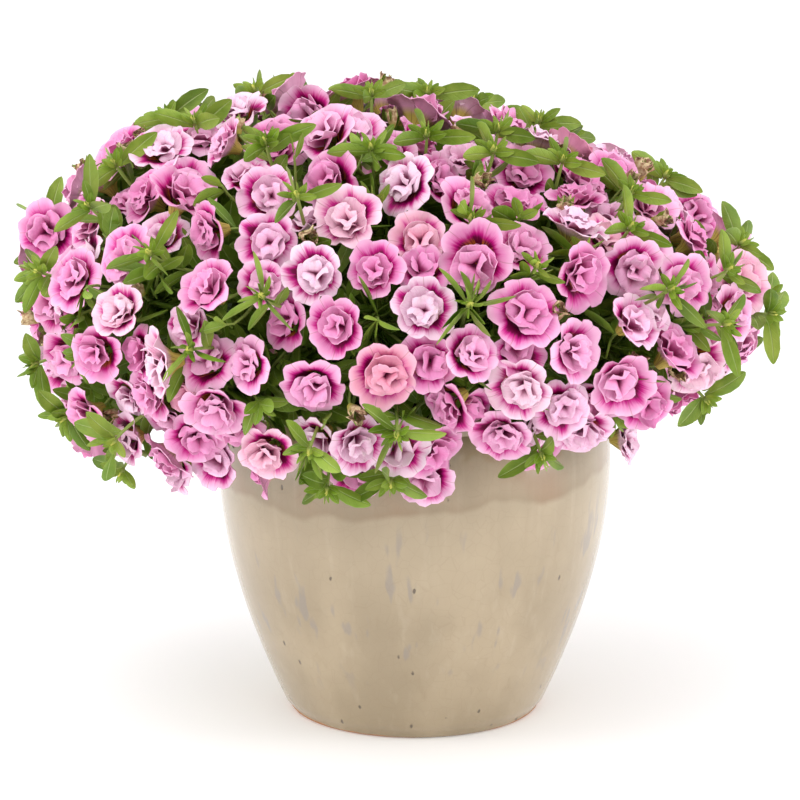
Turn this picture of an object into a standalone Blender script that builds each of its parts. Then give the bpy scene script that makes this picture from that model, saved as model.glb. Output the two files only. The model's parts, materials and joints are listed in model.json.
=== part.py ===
"""A double-flowered calibrachoa in a glazed pot: pot, soil, and 24 leafy stems that each carry a
spray of blooms. Metres, +Z up. The origin is the centre of the pot's base, and -Y is the front."""

import collections
import itertools
import math

import bmesh
import bpy
import numpy as np
from mathutils import Matrix, Vector
from mathutils.bvhtree import BVHTree

MM = 0.001

# Pot
POT_HEIGHT = 192 * MM
POT_BASE_RADIUS = 72 * MM
POT_BELLY_RADIUS = 112 * MM
POT_BELLY_HEIGHT = 148 * MM
POT_RIM_RADIUS = 108 * MM
POT_WALL = 8 * MM
POT_FLOOR = 11 * MM
POT_SIDES = 32
DRAIN_RADIUS = 6 * MM
DRAIN_RING = 38 * MM

# Soil
SOIL_TOP = 170 * MM
INNER_HEIGHTS = (64 * MM, 118 * MM, 158 * MM)
SOIL_GAP = 0.3 * MM
SOIL_SIDES = 24

# Mound of blooms: an oblate round, cut off low over the pot
MOUND_CENTRE = np.array([-6, 0, 240]) * MM
MOUND_REACH = 201 * MM
MOUND_RISE = 106 * MM
LOWEST_POLAR = math.radians(128)
WIDER = 0.045
LOBED = 0.018
LOBE_TURN = 0.8
DROOP = 26 * MM
HELD_UP = 34 * MM
NARROWED = 13 * MM
LEAN_LEFT = 0.10
LEAN_RIGHT = 0.17

# Blooms
BLOOMS = 186
BLOOM_SEED = 20
BLOOM_RADII = (15.8 * MM, 19.6 * MM)
BLOOM_LIFTS = (-9 * MM, 6 * MM)
BLOOM_GAP = 1.4 * MM
BLOOM_TILT = 0.30
BLOOM_LEAN_UP = 0.08
BLOOM_LEAN_OUT = 0.8
TUBE_LENGTH = 13 * MM
TUBE_RADIUS = 1.2 * MM
LOBES = 5

# Sprays: each has a knuckle that its pedicels grow from, above a tuft of inner leaves
SPRAYS = 24
KNUCKLE_DEPTH = 41 * MM
KNUCKLE_RADIUS = 4 * MM
KNUCKLE_TURNS = 16
KNUCKLE_SHIFTS = (0, 5 * MM, -5 * MM, 10 * MM, 15 * MM)
TUFT_DEPTH = 66 * MM
TUFT_RADIUS = 26 * MM
TUFT_FLATNESS = 0.35
TUFT_LOWEST = 224 * MM
JOINT_GAP = 0.4 * MM

# Stems and shoots
STEM_RADIUS = 1.6 * MM
STEM_SIDES = 3
STEM_SUNK = 20 * MM
HOLE_RADIUS = 2.4 * MM
CROWN_RADIUS = 40 * MM
SHOOTS_PER_SPRAY = 3
SHOOT_RADIUS = 1.1 * MM
SHOOT_SPACING = 33 * MM
SHOOT_BEND = 20 * MM
SHOOT_LIFT = 9 * MM
SHOOT_SEED = 5
GAP_SAMPLES = 2600

BUD_RADIUS = 2 * MM
BUD_HEIGHT = 3 * MM
BUD_POINT = 4 * MM

# Leaves: lengths, first rise in degrees, arch, and (share of length, share of width) of each section
LeafKind = collections.namedtuple("LeafKind", "lengths first_rise arch sections")
LARGE = LeafKind((22 * MM, 29 * MM), 20, 0.16, ((0.38, 0.92), (0.76, 0.84)))
SMALL = LeafKind((12 * MM, 17 * MM), 48, 0.06, ((0.52, 1.0),))
LEAF_WIDTH_SHARE = 0.31
LEAF_THICKNESS = 0.9 * MM
LEAF_CLEARANCE = 0.7 * MM

GOLDEN_ANGLE = math.pi * (3 - math.sqrt(5))
UP = np.array([0.0, 0.0, 1.0])


def clear_scene():
    for obj in list(bpy.data.objects):
        bpy.data.objects.remove(obj, do_unlink=True)


def material(name, colour, roughness, coat=0.0):
    made = bpy.data.materials.new(name)
    made.use_nodes = True
    shader = made.node_tree.nodes["Principled BSDF"]
    shader.inputs["Base Color"].default_value = (*colour, 1.0)
    shader.inputs["Roughness"].default_value = roughness
    shader.inputs["Metallic"].default_value = 0.0
    shader.inputs["Coat Weight"].default_value = coat
    made.diffuse_color = (*colour, 1.0)
    return made


def solid(name, points, faces, finish):
    mesh = bpy.data.meshes.new(name)
    mesh.from_pydata([tuple(p) for p in points], [], faces)
    mesh.materials.append(finish)
    made = bpy.data.objects.new(name, mesh)
    bpy.context.scene.collection.objects.link(made)
    return made


def unit(vector):
    return vector / np.linalg.norm(vector, axis=-1, keepdims=True)


# Layout of the mound


def even_angles(count):
    """Polar angles and azimuths of points that share the mound's surface evenly, in a golden spiral."""
    polar = np.linspace(0, LOWEST_POLAR, 400)
    band = np.sin(polar) * np.hypot(MOUND_REACH * np.cos(polar), MOUND_RISE * np.sin(polar))
    share = np.cumsum(band) / band.sum()
    number = np.arange(count)
    return np.interp((number + 0.5) / count, share, polar), number * GOLDEN_ANGLE


def mound_normal(point):
    return unit(point / np.array([MOUND_REACH, MOUND_REACH, MOUND_RISE]) ** 2)


def on_mound(polar, azimuth, lift):
    """Points on the round mound, before growth shapes it, lifted along its normal."""
    across = MOUND_REACH * np.sin(polar)
    point = np.stack([across * np.cos(azimuth), across * np.sin(azimuth), MOUND_RISE * np.cos(polar)], axis=-1)
    return point + mound_normal(point) * np.reshape(lift, (-1, 1))


def angles_of(point):
    """Polar angles and azimuths of points near the round mound, none of them lower than its lowest edge."""
    across = np.hypot(point[:, 0], point[:, 1]) / MOUND_REACH
    polar = np.arctan2(across, point[:, 2] / MOUND_RISE)
    return np.minimum(polar, LOWEST_POLAR), np.arctan2(point[:, 1], point[:, 0])


def grown(point):
    """The round mound's points as the plant grew: wider from side to side, drooping and tall on the left,
    and drawn in, low and held up on the right."""
    azimuth = np.arctan2(point[:, 1], point[:, 0])
    spread = 1 + WIDER * np.cos(2 * azimuth) + LOBED * np.cos(3 * azimuth + LOBE_TURN)
    low = np.clip(-point[:, 2] / MOUND_RISE, 0, 1)
    high = np.clip(point[:, 2] / MOUND_RISE, 0, 1)
    moved = point * np.stack([spread, spread, np.ones_like(spread)], axis=-1)
    moved[:, 2] -= DROOP * low * (1 - np.cos(azimuth)) / 2 - HELD_UP * low * (1 + np.cos(azimuth)) / 2
    moved[:, 2] -= high * np.where(point[:, 0] > 0, LEAN_RIGHT, LEAN_LEFT) * point[:, 0]
    moved[:, 0] -= NARROWED * np.clip(point[:, 0] / MOUND_REACH, 0, 1) ** 2
    return moved + MOUND_CENTRE


def bloom_places():
    """Centres on the round mound, facings, radii and spins of the blooms. Each pushes its neighbours clear."""
    rng = np.random.default_rng(BLOOM_SEED)
    polar, azimuth = even_angles(BLOOMS)
    polar = polar + rng.normal(0, 0.05, BLOOMS)
    azimuth = azimuth + rng.normal(0, 0.06, BLOOMS)
    lift = rng.uniform(*BLOOM_LIFTS, BLOOMS)
    radius = rng.uniform(*BLOOM_RADII, BLOOMS)
    for _ in range(240):
        place = grown(on_mound(polar, azimuth, lift))
        apart = place[:, None] - place[None]
        distance = np.linalg.norm(apart, axis=-1) + np.eye(BLOOMS)
        short = np.clip(radius[:, None] + radius[None] + BLOOM_GAP - distance, 0, None)
        np.fill_diagonal(short, 0)
        push = (apart / distance[..., None] * short[..., None]).sum(axis=1)
        polar, azimuth = angles_of(on_mound(polar, azimuth, 0) + 0.35 * push)
    centre = on_mound(polar, azimuth, lift)
    facing = mound_normal(centre) + BLOOM_LEAN_OUT * unit(centre) + BLOOM_LEAN_UP * UP
    facing = unit(facing) + rng.normal(0, BLOOM_TILT, (BLOOMS, 3))
    spin = rng.uniform(0, 2 * math.pi, BLOOMS)
    return centre, unit(facing), radius, spin


def spray_members(centre):
    """The number of each bloom's spray: blooms go to the nearest of evenly spread sprays that isn't crowded."""
    middle = on_mound(*even_angles(SPRAYS), 0)
    crowd = np.zeros(SPRAYS)
    for _ in range(40):
        nearest = (np.linalg.norm(centre[:, None] - middle[None], axis=-1) + crowd).argmin(axis=1)
        middle = np.stack([centre[nearest == number].mean(axis=0) for number in range(SPRAYS)])
        crowd += 0.5 * MM * (np.bincount(nearest, minlength=SPRAYS) - BLOOMS / SPRAYS)
    return nearest, middle


def spray_frames(place, member):
    """Where each spray's knuckle and tuft are, under the middle of its blooms and clear of the pot."""
    middle = np.stack([place[member == number].mean(axis=0) for number in range(SPRAYS)])
    heart = MOUND_CENTRE + (middle - MOUND_CENTRE) * np.array([0.45, 0.45, 0.2])
    outward = unit(middle - heart)
    knuckle = middle - KNUCKLE_DEPTH * outward
    across = np.linalg.norm(knuckle[:, :2], axis=1, keepdims=True)
    clear = POT_BELLY_RADIUS + 10 * MM
    beside_pot = (knuckle[:, 2:] < POT_HEIGHT + 12 * MM) & (across < clear)
    knuckle[:, :2] *= np.where(beside_pot, clear / across, 1)
    tuft = middle - TUFT_DEPTH * outward
    tuft[:, 2] = np.maximum(tuft[:, 2], TUFT_LOWEST)
    return knuckle, tuft, outward


def shoot_spots(centre, radius, middle):
    """Places between blooms for leafy shoots, as (spray, place, normal), the roomiest first."""
    spot = on_mound(*even_angles(GAP_SAMPLES), 0)
    room = (np.linalg.norm(spot[:, None] - centre[None], axis=-1) - radius[None]).min(axis=1)
    spray = np.linalg.norm(spot[:, None] - middle[None], axis=-1).argmin(axis=1)
    surface, normal = grown(spot), mound_normal(spot)
    return [(spray[i], surface[i], normal[i]) for i in np.argsort(-room)]


# Pot and soil


def turned(name, profile, sides, finish):
    """A solid turned about Z from an outline (radius, height) that starts and ends on the axis."""
    points, faces = [], []
    rings = profile[1:-1]
    for radius, height in rings:
        for side in range(sides):
            angle = 2 * math.pi * side / sides
            points.append((radius * math.cos(angle), radius * math.sin(angle), height))
    bottom, top = len(points), len(points) + 1
    points += [(0, 0, profile[0][1]), (0, 0, profile[-1][1])]
    for side in range(sides):
        after = (side + 1) % sides
        faces.append((bottom, after, side))
        for ring in range(len(rings) - 1):
            low, high = ring * sides, (ring + 1) * sides
            faces.append((low + side, low + after, high + after, high + side))
        last = (len(rings) - 1) * sides
        faces.append((top, last + side, last + after))
    return solid(name, points, faces, finish)


def pot_radius(height):
    """The pot's outer radius: a straight flare from the base that rounds over into the belly and shoulder."""
    if height < POT_BELLY_HEIGHT:
        share = height / POT_BELLY_HEIGHT
        return POT_BASE_RADIUS + (POT_BELLY_RADIUS - POT_BASE_RADIUS) * math.sin(share * math.pi / 2) ** 0.93
    share = (height - POT_BELLY_HEIGHT) / (POT_HEIGHT - POT_BELLY_HEIGHT)
    return POT_BELLY_RADIUS - (POT_BELLY_RADIUS - POT_RIM_RADIUS + 3 * MM) * share**2


def pot_profile():
    """The pot's outline, up its outside, over the rolled rim and down its inside."""
    foot = [(0, 0), (POT_BASE_RADIUS - 3 * MM, 0), (POT_BASE_RADIUS, 3 * MM)]
    outside = [(pot_radius(h * MM), h * MM) for h in (25, 50, 80, 112, 148, 172)]
    lip_root = POT_HEIGHT - 11 * MM
    rim = [
        (pot_radius(lip_root), lip_root),
        (POT_RIM_RADIUS, POT_HEIGHT - 6 * MM),
        (POT_RIM_RADIUS - 2 * MM, POT_HEIGHT),
        (POT_RIM_RADIUS - 7 * MM, POT_HEIGHT),
        (POT_RIM_RADIUS - POT_WALL - 3 * MM, POT_HEIGHT - 6 * MM),
    ]
    inside = [(pot_radius(h) - POT_WALL, h) for h in reversed(INNER_HEIGHTS)]
    floor = [(POT_BASE_RADIUS - POT_WALL, POT_FLOOR), (0, POT_FLOOR)]
    return foot + outside + rim + inside + floor


def cutter(name, places, radius, bottom, top, sides):
    """Upright prisms that cut plain holes."""
    points, faces = [], []
    for x, y in places:
        first = len(points)
        for height in (bottom, top):
            for side in range(sides):
                angle = 2 * math.pi * side / sides
                points.append((x + radius * math.cos(angle), y + radius * math.sin(angle), height))
        low = list(range(first, first + sides))
        high = list(range(first + sides, first + 2 * sides))
        faces += [tuple(reversed(low)), tuple(high)]
        faces += [(low[s], low[(s + 1) % sides], high[(s + 1) % sides], high[s]) for s in range(sides)]
    made = solid(name, points, faces, bpy.data.materials["soil"])
    made.hide_render = True
    made.display_type = "WIRE"
    return made


def cut(body, tool):
    modifier = body.modifiers.new("holes", "BOOLEAN")
    modifier.operation = "DIFFERENCE"
    modifier.object = tool


def build_pot(finish):
    pot = turned("pot", pot_profile(), POT_SIDES, finish)
    ring = [math.radians(90 + 120 * k) for k in range(3)]
    places = [(DRAIN_RING * math.cos(a), DRAIN_RING * math.sin(a)) for a in ring]
    cut(pot, cutter("drain_cutter", places, DRAIN_RADIUS, -5 * MM, POT_FLOOR + 5 * MM, 10))
    pot.data.shade_smooth()
    pot.data.set_sharp_from_angle(angle=math.radians(50))
    return pot


def build_soil(holes, finish):
    """Potting soil that fills the pot to below its rim, with a plain hole for each stem."""
    wall = POT_WALL + SOIL_GAP
    bottom = POT_FLOOR + SOIL_GAP
    slack = 1 / math.cos(math.pi / SOIL_SIDES)
    side = [(pot_radius(h) - wall * slack - 0.6 * MM, h) for h in INNER_HEIGHTS]
    foot = (POT_BASE_RADIUS - wall * slack - 0.6 * MM, bottom)
    edge = (side[-1][0] - 4 * MM, SOIL_TOP - 3 * MM)
    profile = [(0, bottom), foot, *side, edge, (0, SOIL_TOP)]
    soil = turned("soil", profile, SOIL_SIDES, finish)
    deep = SOIL_TOP - STEM_SUNK - 2 * MM
    cut(soil, cutter("stem_hole_cutter", holes, HOLE_RADIUS, deep, SOIL_TOP + 20 * MM, 4))
    return soil


# Blooms


def frame_of(direction, spin=0.0):
    """A rotation that takes +Z to the direction, turned about it by spin."""
    turn = Vector((0, 0, 1)).rotation_difference(Vector(direction)).to_matrix()
    return np.array(turn @ Matrix.Rotation(spin, 3, "Z"))


def knuckle_shape(centre, towards_stem, spin):
    """A small twenty-sided knuckle, with one facet square to the stem below it, turned about that facet."""
    shape = bmesh.new()
    bmesh.ops.create_icosphere(shape, subdivisions=1, radius=KNUCKLE_RADIUS)
    shape.faces.ensure_lookup_table()
    turn = shape.faces[0].normal.rotation_difference(Vector(towards_stem)).to_matrix()
    turn = Matrix.Rotation(spin, 3, Vector(towards_stem)) @ turn
    points = [centre + np.array(turn @ v.co) for v in shape.verts]
    faces = [tuple(v.index for v in f.verts) for f in shape.faces]
    shape.free()
    return points, faces


def ring_points(radii, heights, turn=0.0):
    count = len(radii)
    angles = turn + 2 * math.pi * np.arange(count) / count
    return np.stack([radii * np.cos(angles), radii * np.sin(angles), heights], axis=-1)


def bloom_rings(radius):
    """A bloom's rings in its own frame, +Z out of its face: tube, ten-scalloped skirt, throat and heart."""
    tube = ring_points(np.full(3, TUBE_RADIUS), np.full(3, -TUBE_LENGTH))
    lobed = np.where(np.arange(2 * LOBES) % 2 == 0, 1.0, 0.84)
    skirt = ring_points(radius * lobed, radius * np.where(lobed < 1, 0.06, -0.05))
    throat = ring_points(np.full(LOBES, 0.47 * radius), np.full(LOBES, -0.24 * radius), math.pi / LOBES)
    heart = ring_points(np.full(LOBES, 0.5 * radius), np.full(LOBES, 0.17 * radius), math.radians(9))
    middle = np.array([[0.0, 0.0, 0.1 * radius]])
    return tube, skirt, throat, heart, middle


def add_bloom(points, faces, place, facing, radius, spin, facet):
    """Grows a bloom on its pedicel from a facet of the knuckle, joined point to point."""
    turn = frame_of(facing, spin)
    tube, skirt, throat, heart, middle = bloom_rings(radius)
    first = len(points)
    rings = np.concatenate([tube, skirt, throat, heart, middle]) @ turn.T + place
    points.extend(rings)
    tube_at = [first, first + 1, first + 2]
    root = [np.array(points[i]) for i in facet]
    shift = min(range(3), key=lambda s: sum(np.linalg.norm(root[(k + s) % 3] - rings[k]) for k in range(3)))
    facet = [facet[(k + shift) % 3] for k in range(3)]
    skirt_at = [first + 3 + k for k in range(2 * LOBES)]
    throat_at = [skirt_at[-1] + 1 + k for k in range(LOBES)]
    heart_at = [throat_at[-1] + 1 + k for k in range(LOBES)]
    middle_at = heart_at[-1] + 1
    faces += [(facet[k], facet[(k + 1) % 3], tube_at[(k + 1) % 3], tube_at[k]) for k in range(3)]
    starts = (0, 3, 7, 10)
    for k in range(3):
        fan = [skirt_at[s % 10] for s in range(starts[k], starts[k + 1] + 1)]
        faces += [(tube_at[k], b, a) for a, b in zip(fan, fan[1:])]
        faces.append((tube_at[k], tube_at[(k + 1) % 3], fan[-1]))
    for k in range(LOBES):
        lobe, notch, after = skirt_at[2 * k], skirt_at[2 * k + 1], skirt_at[(2 * k + 2) % 10]
        faces += [(lobe, notch, throat_at[k]), (notch, after, throat_at[k])]
        faces.append((after, throat_at[(k + 1) % LOBES], throat_at[k]))
        faces.append((throat_at[k], throat_at[(k + 1) % LOBES], heart_at[(k + 1) % LOBES]))
        faces.append((throat_at[k], heart_at[(k + 1) % LOBES], heart_at[k]))
        faces.append((heart_at[k], heart_at[(k + 1) % LOBES], middle_at))


def best_facets(directions, normals, taken):
    """Gives each pedicel the free facet that faces its bloom best."""
    fit = directions @ normals.T
    fit[:, taken] = -9
    chosen = {}
    while len(chosen) < len(directions):
        bloom, facet = np.unravel_index(fit.argmax(), fit.shape)
        chosen[bloom] = facet
        fit[bloom, :] = -9
        fit[:, facet] = -9
    return chosen


def crossings(points, faces):
    """How many pairs of a shape's triangles cross, among those that share no corner."""
    split = triangles(faces)
    tree = BVHTree.FromPolygons([Vector(p) / MM for p in points], split)
    return sum(1 for i, j in tree.overlap(tree) if i < j and not set(split[i]) & set(split[j]))


def spray_shape(blooms, knuckle, tuft, spin):
    """A spray of blooms: every pedicel grows from its own facet of one knuckle."""
    towards_stem = unit(tuft - knuckle)
    points, faces = knuckle_shape(knuckle, towards_stem, spin)
    corners = np.array(points)[np.array(faces)]
    normals = unit(corners.mean(axis=1) - knuckle)
    directions = unit(np.array([place - TUBE_LENGTH * facing for place, facing, _, _ in blooms]) - knuckle)
    chosen = best_facets(directions, normals, [int((normals @ towards_stem).argmax())])
    for i, (place, facing, radius, spin) in enumerate(blooms):
        add_bloom(points, faces, place, facing, radius, spin, faces[chosen[i]])
    return points, [face for i, face in enumerate(faces) if i not in chosen.values()]


def clear_spray(blooms, knuckle, tuft, outward):
    """The spray, with its knuckle turned and sunk so that no pedicel crosses another, and that knuckle's place."""
    best = None
    for sunk, step in itertools.product(KNUCKLE_SHIFTS, range(KNUCKLE_TURNS)):
        moved = knuckle - sunk * outward
        shape = spray_shape(blooms, moved, tuft, 2 * math.pi * step / 3 / KNUCKLE_TURNS)
        count = crossings(*shape)
        if best is None or count < best[0]:
            best = (count, shape, moved)
        if count == 0:
            break
    return best[1:]


# Stems, shoots and leaves


def tube_shape(route, radii, sides):
    """A closed tube along a route of points."""
    route = [Vector(p) for p in route]
    points, faces = [], []
    side = None
    for i, centre in enumerate(route):
        along = (route[min(i + 1, len(route) - 1)] - route[max(i - 1, 0)]).normalized()
        start = side if side is not None else along.orthogonal()
        side = (start - along * start.dot(along)).normalized()
        other = along.cross(side)
        for k in range(sides):
            angle = 2 * math.pi * k / sides
            points.append(centre + radii[i] * (math.cos(angle) * side + math.sin(angle) * other))
    for i in range(len(route) - 1):
        low, high = i * sides, (i + 1) * sides
        for k in range(sides):
            after = (k + 1) % sides
            faces.append((low + k, low + after, high + after, high + k))
    faces += [tuple(reversed(range(sides))), tuple(range(len(points) - sides, len(points)))]
    return points, faces


def leaf_rings(root, outward, face, length, width, thickness, arch, sections, keel):
    """A blade's three-point sections and its tip. It arches over, and is keeled below (-1) or above (1)."""
    outward = Vector(outward).normalized()
    side = Vector(face).cross(outward).normalized()
    rise = outward.cross(side).normalized()
    points = []
    for share, spread in sections:
        centre = Vector(root) + outward * (length * share) - rise * (arch * length * share**2)
        half = side * (0.5 * width * spread * -keel)
        points += [centre + half, centre - half, centre + rise * (keel * thickness)]
    return points + [Vector(root) + outward * length - rise * (arch * length)]


def grown_leaf(facet, sections):
    """Triangles of a leaf whose points follow its facet's three corners, section by section to the tip."""
    faces = []
    rings = [facet, *sections]
    for low, high in zip(rings, rings[1:]):
        if len(high) == 1:
            faces += [(low[k], low[(k + 1) % 3], high[0]) for k in range(3)]
            continue
        for k in range(3):
            after = (k + 1) % 3
            faces += [(low[k], low[after], high[after]), (low[k], high[after], high[k])]
    return faces


def sections_of(first, count):
    return [[first + 3 * i + k for k in range(3)] for i in range(count)] + [[first + 3 * count]]


def closed_leaf(points):
    """A leaf's points as a shape of its own, closed at its root."""
    sections = sections_of(0, len(points) // 3)
    return points, [(2, 1, 0), *grown_leaf(sections[0], sections[1:])]


def triangles(faces):
    return [(f[0], f[k], f[k + 1]) for f in faces for k in range(1, len(f) - 1)]


def tree_of(shapes):
    """One search tree over several shapes, in millimetres, as small numbers blunt its tests."""
    points, faces = [], []
    for shape_points, shape_faces in shapes:
        first = len(points)
        points += [Vector(p) / MM for p in shape_points]
        faces += [tuple(first + i for i in face) for face in triangles(shape_faces)]
    return BVHTree.FromPolygons(points, faces)


def clear_leaves(start, level, normal, kind, rng, obstacles):
    """A leaf's points, raised and swung step by step from its first direction, wherever it stands clear."""
    length = rng.uniform(*kind.lengths)
    width = length * LEAF_WIDTH_SHARE
    keel = rng.choice([-1, 1])
    across = np.cross(normal, level)
    for swing, rise in itertools.product((0, 20, -20, 40, -40), range(kind.first_rise, 84, 10)):
        turn = math.radians(swing)
        tilt = math.radians(rise)
        flat = math.cos(turn) * level + math.sin(turn) * across
        outward = math.cos(tilt) * flat + math.sin(tilt) * normal
        face = math.cos(tilt) * normal - math.sin(tilt) * flat
        room = LEAF_CLEARANCE
        leaf = leaf_rings(start, outward, face, length, width, LEAF_THICKNESS, kind.arch, kind.sections, keel)
        sections = ((3 * MM / length, 0.6), *kind.sections, (1, 0.12))
        size = (length, width + 2 * room, LEAF_THICKNESS + 2 * room, kind.arch, sections, keel)
        swollen = leaf_rings(start - keel * room * face, outward, face, *size)
        trial = tree_of([closed_leaf(leaf), closed_leaf(swollen)])
        if not any(trial.overlap(tree) for tree in obstacles):
            yield leaf


def shoot_shape(route, normal, spin, leaf_count, rng, obstacles):
    """A shoot from inside its tuft to a six-sided bud, with leaves grown from the bud's facets."""
    base, bend, tip = route
    axis = Vector(normal)
    low = axis.orthogonal().normalized()
    turned_by = [Matrix.Rotation(spin + math.radians(60 * k), 3, axis) @ low for k in range(6)]
    points, faces = tube_shape([base, bend], [SHOOT_RADIUS * 1.3, SHOOT_RADIUS], 3)
    faces = [f for f in faces if set(f) != {3, 4, 5}]
    points += [Vector(tip) - axis * BUD_HEIGHT + turned_by[2 * k] * BUD_RADIUS for k in range(3)]
    points += [Vector(tip) + turned_by[2 * k + 1] * BUD_RADIUS for k in range(3)]
    bud = [6, 7, 8]
    shift = min(range(3), key=lambda s: sum((points[3 + (k + s) % 3] - points[6 + k]).length for k in range(3)))
    stalk = [3 + (k + shift) % 3 for k in range(3)]
    faces += [(stalk[k], stalk[(k + 1) % 3], bud[(k + 1) % 3], bud[k]) for k in range(3)]
    lower = [(6 + k, 6 + (k + 1) % 3, 9 + k) for k in range(3)]
    upper = [(6 + (k + 1) % 3, 9 + (k + 1) % 3, 9 + k) for k in range(3)]
    top = len(points)
    points.append(Vector(tip) + axis * BUD_POINT)
    faces += [(9 + k, 9 + (k + 1) % 3, top) for k in range(3)]
    plan = [(facet, LARGE) for facet in lower] + [(facet, SMALL) for facet in upper]
    bare = [facet for facet, _ in plan]
    for facet, kind in plan[:leaf_count]:
        corners = [points[i] for i in facet]
        start = sum(corners, Vector()) / 3
        level = start - (Vector(tip) - axis * 0.5 * BUD_HEIGHT)
        level = (level - axis * level.dot(axis)).normalized()
        bare.remove(facet)
        first = len(points)
        for rings in clear_leaves(np.array(start), np.array(level), normal, kind, rng, obstacles):
            shift = min(range(3), key=lambda s: sum((corners[(k + s) % 3] - rings[k]).length for k in range(3)))
            root = [facet[(k + shift) % 3] for k in range(3)]
            leaf = grown_leaf(root, sections_of(first, len(kind.sections)))
            if crossings(points + rings, faces + bare + leaf) == 0:
                points += rings
                faces += leaf
                break
        else:
            bare.append(facet)
    return points, faces + bare


def grow_shoots(spots, tuft, frames, bloom_tree, rng):
    """Adds leafy shoots to the sprays' frames, in the roomiest spots that they reach without crossing anything."""
    trees = [[tree_of(frame)] for frame in frames]
    tips = []
    for number, surface, normal in spots:
        tip = surface + SHOOT_LIFT * normal
        if len(trees[number]) > SHOOTS_PER_SPRAY or any(np.linalg.norm(tip - t) < SHOOT_SPACING for t in tips):
            continue
        route = [tuft[number], surface - SHOOT_BEND * normal, tip]
        others = [bloom_tree, *[tree for n, group in enumerate(trees) if n != number for tree in group]]
        around = [SHOOT_RADIUS + 1 * MM] * 2 + [BUD_RADIUS + 3.5 * MM] * 3
        beyond = [*route[:2], tip - 2 * BUD_HEIGHT * normal, tip, tip + 1.5 * BUD_POINT * normal]
        swollen = tree_of([tube_shape(beyond, around, 4)])
        if any(swollen.overlap(tree) for tree in others):
            continue
        obstacles = [bloom_tree, *[tree for group in trees for tree in group]]
        spin = rng.uniform(0, 2 * math.pi)
        shape = shoot_shape(route, normal, spin, rng.integers(3, 5), rng, obstacles)
        frames[number].append(shape)
        trees[number].append(tree_of([shape]))
        tips.append(tip)


def tuft_shape(centre, direction):
    """A low-sided lump of close inner leaves, across the spray."""
    shape = bmesh.new()
    bmesh.ops.create_icosphere(shape, subdivisions=1, radius=TUFT_RADIUS)
    turn = frame_of(direction)
    flat = np.array([1, 1, TUFT_FLATNESS])
    points = [centre + turn @ (np.array(v.co) * flat) for v in shape.verts]
    faces = [tuple(v.index for v in f.verts) for f in shape.faces]
    shape.free()
    return points, faces


def stem_routes(hole, tuft):
    """Ways from the bottom of a hole in the soil, up and over in one curve to the tuft, the straightest first."""
    foot = np.array([*hole, SOIL_TOP - STEM_SUNK])
    start = np.array([*hole, SOIL_TOP + 4 * MM])
    across = np.linalg.norm(tuft[:2])
    sideways = np.array([-tuft[1], tuft[0], 0]) / across
    for rise, swing in itertools.product((0.42, 0.32, 0.52), (0, 12 * MM, -12 * MM, 24 * MM, -24 * MM)):
        bend = np.array([*(0.5 * tuft[:2]), 0.5 * (SOIL_TOP + tuft[2]) + rise * across]) + swing * sideways
        curve = [(1 - t) ** 2 * start + 2 * t * (1 - t) * bend + t * t * tuft for t in (0, 0.5, 1)]
        yield [foot, *curve]


def clear_stem(hole, tuft, obstacles):
    """The first of a stem's ways that crosses nothing."""
    for route in stem_routes(hole, tuft):
        shape = tube_shape(route, [STEM_RADIUS] * len(route), STEM_SIDES)
        swollen = tree_of([tube_shape(route[1:], [STEM_RADIUS + 1 * MM] * (len(route) - 1), 4)])
        if not any(swollen.overlap(tree) for tree in obstacles):
            break
    return shape


def joined(name, shapes, finish):
    """One closed solid from overlapping shapes."""
    parts = [solid(f"{name}_part", points, faces, finish) for points, faces in shapes]
    base = parts[0]
    others = bpy.data.collections.new(f"{name}_parts")
    for part in parts[1:]:
        others.objects.link(part)
        bpy.context.scene.collection.objects.unlink(part)
    bpy.context.scene.collection.children.link(others)
    modifier = base.modifiers.new("join", "BOOLEAN")
    modifier.operation = "UNION"
    modifier.operand_type = "COLLECTION"
    modifier.collection = others
    modifier.solver = "MANIFOLD"
    bpy.context.view_layer.update()
    evaluated = base.evaluated_get(bpy.context.evaluated_depsgraph_get())
    mesh = bpy.data.meshes.new_from_object(evaluated)
    for part in parts:
        bpy.data.objects.remove(part, do_unlink=True)
    bpy.data.collections.remove(others)
    mesh.name = name
    made = bpy.data.objects.new(name, mesh)
    bpy.context.scene.collection.objects.link(made)
    return made


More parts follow.
